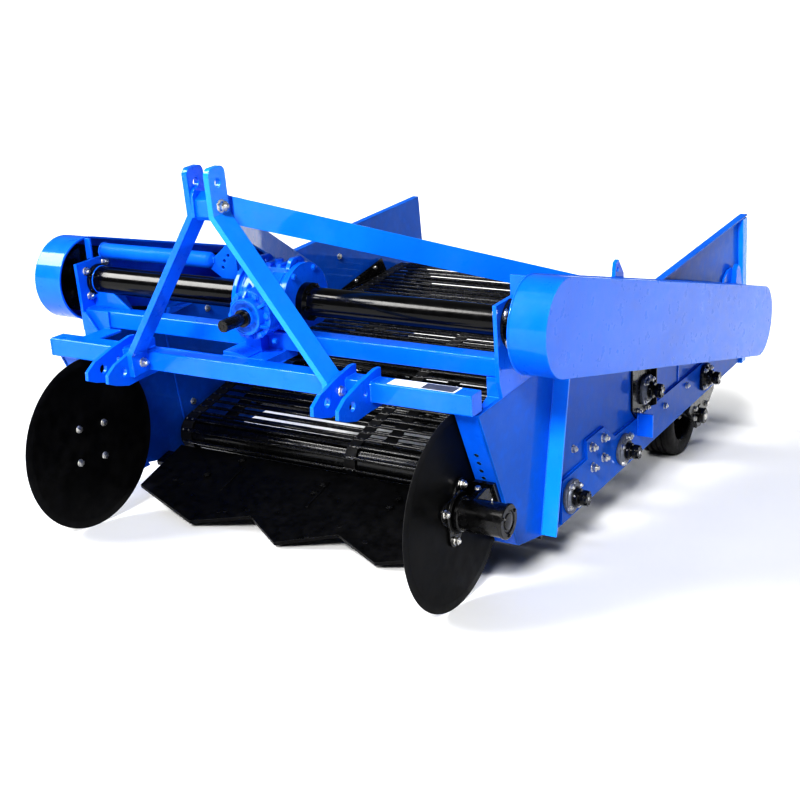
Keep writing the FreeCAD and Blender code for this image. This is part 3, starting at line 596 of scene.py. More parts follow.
# braces, right mast leg and posts: a brighter copy of the blue, for painted light on these faces
LIGHT_BRIGHT_BRACE_PAINT = blue_paint("light_brightened_brace_blue_paint", deep=(0.005, 0.225, 0.97), light=(0.010, 0.280, 1.0), r0=0.26, r1=0.42, coat=0.75)
BLACK = black_paint("gloss_black_paint")
TUBE = black_paint("polished_black_tube", base=0.0012, hi=0.003, r0=0.11, r1=0.22, coat=0.22, dusty=0.008, spec=0.24)
RODM = black_paint("black_web_rods", base=0.003, hi=0.009, r0=0.16, r1=0.34, dusty=0.04, edge=(0.05, 0.05, 0.053), spec=0.45)
SHAREM = black_paint("black_share_steel", base=0.002, hi=0.0065, r0=0.26, r1=0.50, edge=(0.07, 0.07, 0.073), dusty=0.02, coat=0.0, spec=0.12)
ZINC = plated("zinc_plated_steel")
RIVETM = plated("dull_web_rivets", (0.16, 0.16, 0.165), 0.30, 0.46)
STEEL = plated("bright_steel_shaft", (0.62, 0.62, 0.61), 0.18, 0.34)
GREY = cast_grey("grey_cast_housing")
BELT = rubber("belt_rubber_black")
WRUB = rubber("wheel_rubber_black", dusty=0.16, scale=1.6)
LAB_W = label("blank_white_label", (0.78, 0.79, 0.80), (0.90, 0.91, 0.92))
LAB_G = label("blank_grey_label", (0.045, 0.047, 0.05), (0.10, 0.103, 0.108))
FLOOR = floor_mat()


# ------------------------------------------------------ CAD nodes' materials
def disc_axis():
    p = MW @ Vector((0, DISC[0], DISC[1]))
    return p.y, p.z


DISCM = disc_steel("black_disc_paint", *disc_axis())
MAT = {}
for n in NODES:
    MAT[n] = BLUE
for n in ("web_front_roller", "web_support_rollers", "web_drive_shaft", "share_bar", "left_wheel_bracket", "right_wheel_bracket", "left_disc_carrier", "right_disc_carrier",
          "pto_shaft", "left_drive_pulleys", "right_drive_pulleys", "left_gauge_wheel", "right_gauge_wheel", "left_flange_bearings", "right_flange_bearings"):
    MAT[n] = BLACK
for n in ("left_shaft_housing", "right_shaft_housing"):
    MAT[n] = TUBE
MAT["left_disc"] = MAT["right_disc"] = DISCM
MAT["digging_share"] = SHAREM
MAT["web_conveyor"] = BELT
MAT["left_drive_belt"] = MAT["right_drive_belt"] = BELT
MAT["cross_shaft_ends"] = STEEL
MAT["gearbox"] = CAST
# stay tube in the shade-darkened paint: painted shade
MAT["gearbox_stay"] = SHADE_DARK_STAY_PAINT
# side panels and rails in the shade-darkened paint: painted shade
for n in ("left_side_panel", "right_side_panel", "left_bottom_rail", "right_bottom_rail"):
    MAT[n] = SHADE_DARK_PANEL_PAINT
# braces, right mast leg and posts in the brightened paint: painted light
for n in ("left_brace", "right_brace", "right_mast_leg", "left_panel_posts", "right_panel_posts"):
    MAT[n] = LIGHT_BRIGHT_BRACE_PAINT
for n, ob in NODES.items():
    ob.data.materials.clear()
    ob.data.materials.append(MAT[n])


# --------------------------------------------------------------- rod web
def tangent_loop(st):
    out = []
    for i in range(len(st)):
        y1, z1, r1, s1 = st[i]
        y2, z2, r2, s2 = st[(i + 1) % len(st)]
        a1, a2 = r1 * s1, r2 * s2
        d = math.hypot(y2 - y1, z2 - z1)
        ang = math.atan2(z2 - z1, y2 - y1)
        be = math.asin((a1 - a2) / d)
        nx, nz = -math.sin(ang - be), math.cos(ang - be)
        out.append(((y1 + a1 * nx, z1 + a1 * nz), (y2 + a2 * nx, z2 + a2 * nz)))
    return out


STN = [(R1[0], R1[1], R1[2] + 7.4, 1), (R3[0], R3[1], R3[2] + 7.4, 1), (DY, DZ, 107.4, 1), (R4[0], R4[1], R4[2] + 7.4, -1), (R2_[0], R2_[1], R2_[2] + 7.4, -1)]
SEG = tangent_loop(STN)
LOOP = []
for i in range(5):
    a, b = SEG[i]
    L = math.dist(a, b)
    n = max(2, int(L / 12))
    LOOP += [(a[0] + (b[0] - a[0]) * k / n, a[1] + (b[1] - a[1]) * k / n) for k in range(n)]
    yc, zc, rr, sd = STN[(i + 1) % 5]
    nx = SEG[(i + 1) % 5][0]
    a1 = math.atan2(b[1] - zc, b[0] - yc)
    a2 = math.atan2(nx[1] - zc, nx[0] - yc)
    if sd > 0:
        while a2 > a1:
            a2 -= 2 * math.pi
    else:
        while a2 < a1:
            a2 += 2 * math.pi
    n = max(1, int(abs(a2 - a1) * rr / 7))
    LOOP += [(yc + rr * math.cos(a1 + (a2 - a1) * k / n), zc + rr * math.sin(a1 + (a2 - a1) * k / n)) for k in range(n)]
CUM = [0.0]
for i in range(len(LOOP)):
    CUM.append(CUM[-1] + math.dist(LOOP[i], LOOP[(i + 1) % len(LOOP)]))
TOTAL = CUM[-1]


def on_loop(s):
    """Point, tangent and outward normal of the web's centre line at length s."""
    s %= TOTAL
    lo, hi = 0, len(LOOP)
    while hi - lo > 1:
        m = (lo + hi) // 2
        if CUM[m] <= s:
            lo = m
        else:
            hi = m
    a, b = LOOP[lo], LOOP[(lo + 1) % len(LOOP)]
    t = (s - CUM[lo]) / max(1e-9, CUM[lo + 1] - CUM[lo])
    d = Vector((0, b[0] - a[0], b[1] - a[1])).normalized()
    return Vector((0, a[0] + (b[0] - a[0]) * t, a[1] + (b[1] - a[1]) * t)), d, Vector((0, -d.z, d.y))


web = Piece("rod_web")
BELTS = ((-738, -690), (-22, 22), (690, 738))
RODS = 84
pitch = TOTAL / RODS
for x0, x1 in BELTS:
    # belt section: toothed on its inner face between the rods
    n = RODS * 4
    v, f = [], []
    for i in range(n):
        p, d, nn = on_loop(i * TOTAL / n)
        inner = -6.8 if i % 4 in (2,) else -5.2
        for x, h in ((x0, inner), (x1, inner), (x1, 0.6), (x0 + 2, 0.9), (x0, 0.2)):
            v.append(tuple(p + nn * h + X * x))
    for i in range(n):
        j = (i + 1) % n
        for k in range(5):
            f.append((i * 5 + k, i * 5 + (k + 1) % 5, j * 5 + (k + 1) % 5, j * 5 + k))
    web.add((v, f), 1)
rivets = Piece("web_rivets")
for i in range(RODS):
    p, d, nn = on_loop((i + 0.5) * pitch)
    c = p + nn * 1.3
    xs = [-736, -734, -689, -680, -24, -20, 20, 24, 680, 689, 734, 736]
    # round bar, pressed flatter where it is riveted to a belt
    seg = 10
    v, f = [], []
    xs = [-735, -690, -682, -30, -22, 22, 30, 682, 690, 735]
    for x in xs:
        flat = any(a <= x <= b for a, b in BELTS)
        w_, h_ = (7.6, 3.6) if flat else (5.8, 5.8)
        for k in range(seg):
            t = 2 * math.pi * k / seg
            v.append(tuple(c + X * x + d * (w_ * math.cos(t)) + nn * (h_ * math.sin(t) - (1.2 if flat else 0.0))))
    for a in range(len(xs) - 1):
        for k in range(seg):
            j = (k + 1) % seg
            f.append((a * seg + k, a * seg + j, (a + 1) * seg + j, (a + 1) * seg + k))
    f.append(tuple(range(seg)))
    f.append(tuple((len(xs) - 1) * seg + k for k in range(seg - 1, -1, -1)))
    web.add((v, f), 0)
    for x0, x1 in BELTS:
        for x in (x0 + 11, x1 - 11):
            rivets.add(lathe([(0, 5.0), (1.1, 4.7), (2.0, 3.4), (2.4, 1.6)], p + nn * 3.2 + X * x, nn, 10))
web.make("frame", "black_paint", [RODM, BELT], replaces=("web_conveyor",))
rivets.make("frame", "bright_steel", [RIVETM])

# ------------------------------------------------------- bearing units
zinc = Piece("frame_fasteners")
bear = {"left": Piece("left_bearing_units"), "right": Piece("right_bearing_units")}


def rsquare(y, z, h, r, n=6, rot=0.0):
    pts = []
    for qx, qz, a in ((1, 1, 0), (-1, 1, 90), (-1, -1, 180), (1, -1, 270)):
        for i in range(n + 1):
            t = math.radians(a + 90 * i / n)
            p = Vector((qx * (h - r) + r * math.cos(t), qz * (h - r) + r * math.sin(t)))
            p.rotate(Matrix.Rotation(rot, 2))
            pts.append((y + p.x, z + p.y))
    return pts


def flange_unit(nm, sd, x0, y, z, R, bore, rot=0.0, mat=1, lobes=4):
    """Round-cornered flange housing, its insert, locking collar and grease nipple."""
    b = bear[nm]
    ax = X * sd
    o = Vector((x0, y, z))
    k = R / 56.0
    pts = []
    for i in range(72):
        t = 2 * math.pi * i / 72
        r = R * (0.965 + 0.060 * math.cos(lobes * (t - rot)))
        pts.append((y + r * math.cos(t), z + r * math.sin(t)))
    b.add(prism(pts, (x0 if sd > 0 else x0 - 13, 0, 0), Y, Z, X, 13, 2.2), mat)
    b.add(ring([(12, 30 * k), (12, 45 * k), (16, 44 * k), (20, 41.5 * k), (21, 39 * k), (21, 33.5 * k), (15, 31 * k)], o, ax, 44), mat)
    b.add(ring([(12, 33 * k), (19.5, 31.5 * k), (21, 29 * k), (21, bore + 9), (14, bore + 6)], o, ax, 40), 0)
    b.add(ring([(18, bore + 11.5), (34, bore + 11.5), (36, bore + 9), (36, bore + .3), (18, bore + .3)], o, ax, 32), 0)
    for q in (0.6, 2.7, 4.6):
        d = Vector((0, math.cos(q), math.sin(q)))
        zinc.add(lathe([(0, 3.2), (1.0, 3.2), (1.0, 1.8), (0.3, 1.6)], o + ax * 27 + d * (bore + 11.2), d, 8))
    for i in range(4):
        t = rot + math.pi / 2 * i
        d = Y * math.cos(t) + Z * math.sin(t)
        zinc.add(bolt(o + ax * 13 + d * (R * 0.80), ax, 9.5, stud=5, head=False))
    g = o + ax * 16 + Z * (41 * k)
    zinc.add(lathe([(0, 3.4), (2.5, 3.4), (3, 2.2), (6, 1.9), (6.6, 2.7), (8.5, 2.4), (9.5, 1.2)], g, Z, 10))


def castle_nut(b, o, ax, R, h, mat=0):
    """Slotted round nut: a collar with six towers round the shaft's end."""
    b.add(ring([(0, 16.8), (0, R - 1.5), (1.5, R), (h * .55, R), (h * .55 + 1, R - 1), (h * .55 + 1, 16.8)], o, ax, 36), mat)
    u, w, n = perp(ax)
    for i in range(6):
        v, m = [], 5
        for a in (h * .5, h):
            for rr in (15.2, R - 1.2):
                for j in range(m):
                    t = math.radians(60 * i - 19 + 38 * j / (m - 1))
                    v.append(tuple(o + n * a + (u * math.cos(t) + w * math.sin(t)) * rr))
        f = []
        for j in range(m - 1):
            f += [(m + j, m + j + 1, 3 * m + j + 1, 3 * m + j), (j + 1, j, 2 * m + j, 2 * m + j + 1), (2 * m + j, 2 * m + j + 1, 3 * m + j + 1, 3 * m + j)][:3]
            f.append((j, j + 1, m + j + 1, m + j))
        f += [(0, m, 3 * m, 2 * m), (2 * m - 1, m - 1, 3 * m - 1, 4 * m - 1)]
        b.add((v, f), mat)
    b.add(lathe([(0, 16.4), (h - 1.5, 16.4), (h - .3, 15)], o, ax, 28), mat)
    zinc.add(lathe([(0, 6.5), (1.2, 6.2), (1.2, 2.6), (0.2, 2.2)], o + ax * (h - .4), ax, 14))


for nm, sd in SIDES:
    for key, rot in ((R1, 0.55), (R2_, 0.95), (R4, 0.70)):
        flange_unit(nm, sd, sd * 780, key[0], key[1], 57, 17.0, rot, lobes=3 if key is not R4 else 4, mat=0 if key is R4 else 1)
    flange_unit(nm, sd, sd * 778, R3[0], R3[1], 56, 17.0, 0.78, mat=1)
    flange_unit(nm, sd, sd * 770, DY, DZ, 62, 22.0, 0.08, mat=0)
    for key in (R1, R2_, R4, R3):
        castle_nut(bear[nm], Vector((sd * 822, key[0], key[1])), X * sd, 25, 21)
    bear[nm].make("frame", "black_paint", [BLACK, GREY], replaces=("%s_flange_bearings" % nm,))

# --------------------------------------------------------- gauge wheels
for nm, sd in SIDES:
    o = Vector((sd * 560, WHEEL[0], WHEEL[1]))
    ax = X * sd
    pr = [(9, 108), (3, 116), (0.6, 130), (0, 146), (2.5, 156), (7, 163), (14, 167.2)]
    for k in range(5):
        a = 22 + k * 24
        pr += [(a - 6, 168.4), (a - 4.5, 170), (a + 9, 170), (a + 10.5, 168.4), (a + 12, 163.2), (a + 16, 163.2)]
    pr = pr[:-2] + [(130, 168.4), (136, 167.2), (143, 163), (147.5, 156), (150, 146), (149.4, 130), (147, 116), (141, 108)]
    tyre = Piece("%s_gauge_tyre" % nm)
    tyre.add(ring(pr, o, ax, 96))
    body = "%s_gauge_wheel_body" % nm
    tyre.make(body, "wheel_rubber", [WRUB])
    rim = Piece("%s_gauge_rim" % nm)
    rim.add(ring([(7, 107.6), (4, 112), (6.5, 113), (10, 109.4), (140, 109.4), (143.5, 113), (146, 112), (143, 107.6), (139, 104), (120, 100), (30, 100), (11, 104)], o, ax, 72))
    rim.add(lathe([(66, 101), (72, 101), (74, 92), (82, 70), (86, 52), (86, 34), (80, 34), (80, 50), (76, 68), (68, 90), (66, 96)][:6] + [(86, 15)], o, ax, 64))
    rim.add(lathe([(62, 99), (66, 101)], o, ax, 64))
    rim.add(ring([(20, 15.2), (20, 27), (23, 30), (129, 30), (132, 27), (132, 15.2)], o, ax, 40))
    rim.add(ring([(86, 28), (86, 62), (90, 61), (90, 28)], o, ax, 48))
    rim.add(lathe([(14, 13), (16, 15), (236, 15), (238, 13)], o, ax, 24), 1)
    for k in range(5):
        t = 2 * math.pi * k / 5 + .3
        rim.add(bolt(o + ax * 90 + (Y * math.cos(t) + Z * math.sin(t)) * 48, ax, 10), 1)
    rim.make(body, "black_paint", [BLACK, ZINC], replaces=("%s_gauge_wheel" % nm,))

# ---------------------------------------------------------- coulter discs
for nm, sd in SIDES:
    body = "%s_disc_body" % nm
    o = Vector((sd * 685, DISC[0], DISC[1]))
    ax = X * sd
    turn = 72 if sd > 0 else 38
    hub = Piece("%s_disc_hub_flange" % nm)
    pts = []
    for i in range(64):
        t = 2 * math.pi * i / 64
        r = 80 + 19 * math.cos(4 * (t - math.radians(turn)))
        pts.append((DISC[0] + r * math.cos(t), DISC[1] + r * math.sin(t)))
    hub.add(prism(pts, (o.x + (2.5 if sd > 0 else -9.5), 0, 0), Y, Z, X, 7, 1.0))
    hub.add(ring([(9.5, 40), (9.5, 63), (14.0, 60), (14.4, 40)], o, ax, 40))
    hub.make(body, "black_paint", [BLACK])
    hw = Piece("%s_disc_bolts" % nm)
    for i in range(4):
        t = math.radians(turn + 90 * i)
        d = Y * math.cos(t) + Z * math.sin(t)
        hw.add(bolt(o + ax * 9.5 + d * 80, ax, 12, stud=5, head=False))
        hw.add(bolt(o - ax * 2.5 + d * 80, -ax, 12))
    hw.make(body, "bright_steel", [ZINC])
    # fixed housing's end cap, bracket bolts and nipple
    cap = Piece("%s_disc_hub_cap" % nm)
    e = Vector((sd * 847, DISC[0], DISC[1]))
    cap.add(ring([(-6, 47.9), (-6, 50.5), (1, 50.5), (3, 48), (3, 34), (0, 32), (0, 30)], e, ax, 48))
    cap.add(lathe([(0, 24), (2.5, 23), (4, 18), (4.5, 6)], e, ax, 32))
    for k in range(3):
        t = 2 * math.pi * k / 3 + .5
        cap.add(bolt(e + ax * 3 + (Y * math.cos(t) + Z * math.sin(t)) * 41, ax, 6, washer=False))
    cap.add(ring([(706 - 847, 47.9), (706 - 847, 52), (714 - 847, 52), (717 - 847, 48)], e, ax, 48))
    # outer gusset between the barrel and the carrier plate
    x0, x1 = sorted((sd * 742, sd * 752))
    cap.add(px([(60, -243), (120, -232), (162, -240), (212, -352), (150, -330), (104, -300)], x0, x1, 1.5))
    cap.make("frame", "black_paint", [BLACK])
    zinc.add(bolt(Vector((sd * 727, 120, -236)), Z, 10))
    zinc.add(lathe([(0, 3.4), (3, 3.4), (3.5, 2.2), (8, 1.9), (8.6, 2.8), (11, 2.4), (12, 1.2)], Vector((sd * 800, DISC[0], DISC[1] + 47.5)), Z, 10))

# ------------------------------------------------------------- gearbox trim
gb = Piece("gearbox_castings")
gb.add(ring([(0, 30), (0, 45), (-3, 43), (-5, 40), (-5, 33), (-3, 30)], (HX, 82, 198), -Y, 48))
gb.add(ring([(0, 49), (0, 54.6), (-2.5, 53.6), (-2.5, 50)], (HX, 82, 198), Y, 48))
gb.add(ring([(0, 18.2), (0, 28), (4, 27), (5, 24), (5, 18.2)], (HX, 82, 198), -Y, 40))
gb.add(ring([(0, 56), (0, 70), (-2.5, 73), (-6, 74.6), (-8, 74.4)], (HX, 107.5, 198), -Y, 64))
for k in range(6):
    t = math.radians(60 * k + 26)
    d = X * math.sin(t) + Z * math.cos(t)
    c = Vector((HX, 107.5, 198)) + d * 64.5
    gb.add(lathe([(0, 8.8), (2, 8.8), (2.6, 8.2)], c, -Y, 24))
    gb.add(bolt(c - Y * 2.4, -Y, 10.5))
# ribs from the snout out to the collar
for k in range(6):
    a = math.radians(60 * k - 4)
    d = X * math.sin(a) + Z * math.cos(a)
    n_ = d.cross(Y).normalized()
    c = Vector((HX, 0, 198)) + d * 52
    v = []
    for s_ in (-1, 1):
        for q in (c + Y * 87, c + d * 6 + Y * 88, c + d * 21 + Y * 104, c + d * 21 + Y * 109, c + Y * 109):
            v.append(tuple(q + n_ * 4.2 * s_))
    f = [(4, 3, 2, 1, 0), (5, 6, 7, 8, 9)] + [(j, (j + 1) % 5, (j + 1) % 5 + 5, j + 5) for j in range(5)]
    gb.add((v, f))
# ribs that spread from the collar to the barrel
for k, t in enumerate((-62, -28, 14, 52, 84)):
    a = math.radians(t)
    d = X * math.sin(a) + Z * math.cos(a)
    c = Vector((HX, 108, 198)) + d * 55
    v = []
    for s_ in (-1, 1):
        for q in (c + Y * 22, c + d * 16 + Y * 24, c + d * 34 + Y * 62, c + Y * 66):
            v.append(tuple(q + d.cross(Y).normalized() * 3.5 * s_))
    gb.add((v, [(0, 1, 2, 3), (7, 6, 5, 4), (0, 4, 5, 1), (1, 5, 6, 2), (2, 6, 7, 3), (3, 7, 4, 0)]))
# bolts round both end flanges
for k in range(6):
    t = math.radians(27 + 60 * k)
    d = Y * math.sin(t) + Z * math.cos(t)
    c = Vector((86, CY, CZ)) + d * 105
    if c.z > 130:
        gb.add(bolt(c, X, 10))
    c = Vector((-110, CY, CZ)) + d * 98
    if c.z > 130 and c.y < 360:
        gb.add(bolt(c, -X, 10))
    c = Vector((70, CY, CZ)) + d * 106
    if c.z > 130:
        gb.add(bolt(c, -X, 10, head=False, stud=3))
# top pad with lifting ears and filler plug
gb.add(slab((-70, 66), (226, 306), (296, 316), 3))
for x0, x1 in ((-66, -52), (50, 64)):
    gb.add(holed([(222, 312), (308, 312), (300, 332), (286, 343), (248, 343), (232, 332)], [(267, 327, 7)], (x0, 0, 0), Y, Z, X, x1 - x0))
gb.add(lathe([(0, 15), (8, 15), (9, 13)], (-2, 266, 316), Z, 24))
gb.add(hexagon((-2, 266, 325), Z, 24, 10, .2))
gb.add(slab((-30, -12), (232, 300), (314, 328), 3))
gb.add(slab((8, 26), (232, 300), (314, 326), 3))
# barrel bands
for xx in (-84, -40, 4, 44):
    gb.add(ring([(-3, 98), (-2, 102.5), (2, 102.5), (3, 98)], (xx, CY, CZ), X, 64))
# drain plug and level plug on the front lower corner
gb.add(lathe([(0, 13), (3, 13), (4, 11)], (26, 120, 148), -Y, 20))
gb.add(hexagon((26, 116, 148), -Y, 17, 8, .1))
gb.add(lathe([(0, 10), (3, 10)], (40, 150, 112), X, 20))
gb.add(hexagon((43, 150, 112), X, 15, 7, .4))
# raised and sloped left side of the bed
gb.add(prism([(-108, 68.2), (-108, 83), (-66, 83), (-22, 71.5), (-22, 68.2)], (0, 89, 0), X, Z, Y, 108, .8))
gb.make("frame", "blue_paint", [CAST])

pto = Piece("pto_spline")
# splined nose: six keys on the shaft, with the locking groove
for k in range(6):
    t = 2 * math.pi * k / 6
    d = X * math.cos(t) + Z * math.sin(t)
    s_ = X * -math.sin(t) + Z * math.cos(t)
    for y0, y1 in ((-21.5, 8), (14, 62)):
        c = Vector((HX, 0, 198)) + d * 17.2
        pts = [c - s_ * 4.2, c + s_ * 4.2, c + s_ * 3.6 + d * 1.0, c - s_ * 3.6 + d * 1.0]
        v = [tuple(p + Y * y0) for p in pts] + [tuple(p + Y * y1) for p in pts]
        pto.add((v, [(3, 2, 1, 0), (4, 5, 6, 7), (0, 1, 5, 4), (1, 2, 6, 5), (2, 3, 7, 6), (3, 0, 4, 7)]))
pto.add(ring([(0, 10.5), (-1.2, 11.5), (-1.2, 16), (0, 17)], (HX, -22, 198), Y, 24))
pto.add(lathe([(0, 6), (1.5, 5.4)], (HX, -22, 198), -Y, 16))
pto.make("pto_shaft_body", "black_paint", [BLACK])

# --------------------------------------------------- hitch and mast hardware
LEAN = math.radians(-3.3)


def mast(z, dy=0.0):
    return Vector((0, -3 + z * math.sin(LEAN) + dy * math.cos(LEAN), z * math.cos(LEAN) - dy * math.sin(LEAN)))


tb = mast(553)
for s_ in (-1, 1):
    zinc.add(bolt(Vector((HX + s_ * 47, tb.y, tb.z)), X * s_, 17, stud=0 if s_ < 0 else 9, head=s_ < 0))
zinc.add(lathe([(0, 9), (18, 9)], Vector((HX - 47 + 9, tb.y, tb.z)), X, 16))
# foot bolts through the inner ears and the mast feet
for nm, sd in SIDES:
    zinc.add(bolt(Vector((HX + sd * 377.5, 3, 44)), X * sd, 14))
    zinc.add(bolt(Vector((HX + sd * 347.5, 3, 44)), -X * sd, 14, head=False, stud=8))
# tongue with a hole between the mast heads, ahead of the tie
tong = Piece("mast_tongue")
pts = [(-104, 520), (-60, 520), (-50, 560), (-60, 596), (-76, 604), (-94, 598), (-104, 582)]
tong.add(holed([(p[0] + 34, p[1] + 2) for p in pts], [(-46, 575, 8)], (HX - 30, 0, 0), Y, Z, X, 10))
tong.make("frame", "blue_paint", [BLUE])

# ----------------------------------------------------------- weld beads
weld = Piece("weld_beads")


def seam(*pts, r=3.4):
    weld.add(bead(pts, r))


for nm, sd in SIDES:
    for o in (412.5 - 41, 412.5 + 41):
        for s_ in (-1, 1):
            x = HX + sd * o + s_ * 6.5
            seam((x, 28, 14), (x, 28, 69), r=3.2)
            seam((x, 30, 71), (x, 86, 71), r=3.2)
            seam((x, 30, 11), (x, 82, 11), r=3.0)
    # bearing plates on the side panels' top edges and the second beam's ends
    xi, xo = sd * 759.5, sd * 772.5
    seam((xi, 204, 67), (xi, 252, 67), r=3.4)
    seam((xi, 199, 70), (xi, 199, 122))
    seam((xi, 258, 66), (xi, 258, 122))
    seam((xi, 202, 125), (xi, 256, 125))
    # toolbar ends and front members
    seam((sd * 692, 62, 10), (sd * 762, 62, 10))
    seam((sd * 692, 88, 10), (sd * 762, 88, 10))
    seam((sd * 766.5, 29, 13), (sd * 766.5, 29, 69), r=3)
    seam((sd * 761, 300, -471), (sd * 693, 300, -471), r=4)
    # braces on the tie block and at the panels
    seam((HX + sd * 30, 38, 562), (HX + sd * 30, 38, 490), r=4)
    a = Vector((sd * 757, 1494, -14))
    seam(a, a - Z * 76, r=4)
    # housing tube at the bearing plates
    weld.add(bead(circle((sd * 741, CY, CZ), X, 46.0, 48), 2.4, 3.4, True))
    # panel posts
    seam((sd * 770.5, 548, -24), (sd * 770.5, 438, -500), r=3)
    seam((sd * 770.5, 540, -24), (sd * 770.5, 430, -500), r=3)
    seam((sd * 770.5, 2339, 84), (sd * 770.5, 2387, -532), r=3)
    seam((sd * 771, 900, -311), (sd * 771, 762, -311), r=3)
    seam((sd * 771, 2370, -392), (sd * 771, 1002, -379), r=2.6)
    seam((sd * 771, 764, -376), (sd * 771, 575, -378), r=2.6)
    seam((sd * 781, 1201, -368), (sd * 781, 1201, -448), r=3)
    # lug feet
    seam((sd * 775, 952, 44), (sd * 775, 1090, 50), r=3)
    # cover straps
    seam((sd * 773, 261, 242), (sd * 773, 261, 280), r=2.6)
    # gearbox bed
    seam((-112 if sd < 0 else 45, 92, 39), (-112 if sd < 0 else 45, 196, 39), r=3)
    # rear cross tube
    weld.add(bead(circle((sd * 761, 2380, -505), X, 31.0, 40), 2.8, 3.4, True))
seam((-110, 89, 69), (43, 89, 69), r=3)
seam((-110, 199, 69), (43, 199, 69), r=3)
weld.add(bead(circle((-757, 310, 297), X, 27.0, 32), 2.6, 3.2, True))
seam((-288, 304, 290), (-288, 304, 310), r=3)
weld.make("frame", "blue_paint", [WELD])

# ------------------------------------------- panel details, both sides
trim = Piece("panel_brackets")
dark = Piece("black_brackets")
for nm, sd in SIDES:
    def xx(a, b):
        return tuple(sorted((sd * a, sd * b)))
    # end plate of the carrying roller's bracket, standing out from the rail
    trim.add(prism([(sd * 771, -366), (sd * 835, -366), (sd * 835, -449), (sd * 771, -449)], (0, 1202 if sd > 0 else 1210, 0), X, Z, Y if sd > 0 else -Y, 8, 0.8))
    # black bearing plate with its turned rear edge
    dark.add(px([(1160, -170), (1160, -345), (1196, -384), (1316, -398), (1336, -384), (1336, -170)], *xx(770.2, 778), 1.2))
    dark.add(prism([(sd * 771, -172), (sd * 800, -190), (sd * 800, -372), (sd * 771, -384)], (0, 1330 if sd > 0 else 1337, 0), X, Z, Y if sd > 0 else -Y, 7, 1.0))
    for yy, zz in ((1212, -360), (1292, -372)):
        zinc.add(bolt(Vector((sd * 778, yy, zz)), X * sd, 10, stud=6, head=False))
    # adjusting bolts on the raised plate ahead of the second bearing
    for yy, zz in ((891, -346), (795, -345), (893, -416), (804, -418)):
        zinc.add(bolt(Vector((sd * 780, yy, zz)), X * sd, 15, stud=9, head=False))
    # plain bolts on the panel, rail and rear plate
    for yy, zz in ((673, -309), (2060, -330)):
        zinc.add(bolt(Vector((sd * 770, yy, zz)), X * sd, 12, stud=5, head=False))
    for yy, zz in ((1470, -425), (1708, -422), (1130, -422), (2260, -440)):
        zinc.add(bolt(Vector((sd * 780, yy, zz)), X * sd, 11, stud=4, head=False))
    # strap hinge bracket that holds the drive cover's rear end
    trim.add(px([(2120, -180), (2142, -112), (2188, -86), (2240, -86), (2300, -140), (2300, -180)], *xx(772, 780), 1.0))
    trim.add(px([(2226, -174), (2240, -92), (2262, -78), (2286, -92), (2320, -174)], *xx(780, 800), 2.0))
    # split line of the panel's rear sheet
    trim.add(px([(1640, -40), (1650, -40), (1640, -388), (1630, -388)], *xx(770, 774), .6))
    # wheel bracket: outer plate with its bolts
    wy, wz = WHEEL
    dark.add(px([(wy - 128, -552), (wy - 40, -470), (wy + 176, -470), (wy + 176, -552), (wy + 52, wz - 22), (wy + 26, wz - 44), (wy - 30, wz - 44), (wy - 50, wz - 16)], *xx(762.2, 769), 1.2))
    for yy, zz in ((1852, -565), (1846, -603), (1985, -585), (2030, -520)):
        zinc.add(bolt(Vector((sd * 769, yy, zz)), X * sd, 11))
    dark.add(ring([(0, 15.4), (0, 31), (6, 31), (8, 28), (8, 15.4)], (sd * 786, wy, wz), X * sd, 32))
trim.make("frame", "blue_paint", [BLUE])
dark.make("frame", "black_paint", [BLACK])

# bearing plate bolts about the cross shaft
for nm, sd in SIDES:
    for a in (143, 54, 226, 322):
        t = math.radians(a)
        d = Y * math.cos(t) + Z * math.sin(t)
        c = Vector((sd * 760, CY, CZ)) + d * 64
        zinc.add(bolt(c, -X * sd, 13, stud=6, head=False))
        zinc.add(bolt(c + X * sd * 20.2, X * sd, 13))
fl = Piece("cross_shaft_flanges")
for nm, sd in SIDES:
    # outer flange, open at the top where the cover strap stands
    arc = [math.radians(a) for a in range(98, 443, 8)]
    fl.add(px([(CY + 72 * math.cos(t), CZ + 72 * math.sin(t)) for t in arc] + [(CY + 26 * math.cos(t), CZ + 26 * math.sin(t)) for t in reversed(arc)], sd * 772.2, sd * 780.2, 1.0))
    fl.add(ring([(0, 21), (0, 28.5), (16, 28.5), (18, 26), (18, 21)], (sd * 772.2, CY, CZ), X * sd, 40))
    fl.add(ring([(0, 44), (0, 52), (10, 52), (14, 48), (14, 44)], (sd * 759.8, CY, CZ), -X * sd, 48))
    for k in range(6):
        t = math.radians(60 * k + 12)
        d = Y * math.cos(t) + Z * math.sin(t)
        fl.add(bolt(Vector(((116 if sd > 0 else -124), CY, CZ)) + d * 51, X * sd, 6.5, washer=False))
fl.make("frame", "black_paint", [BLACK])

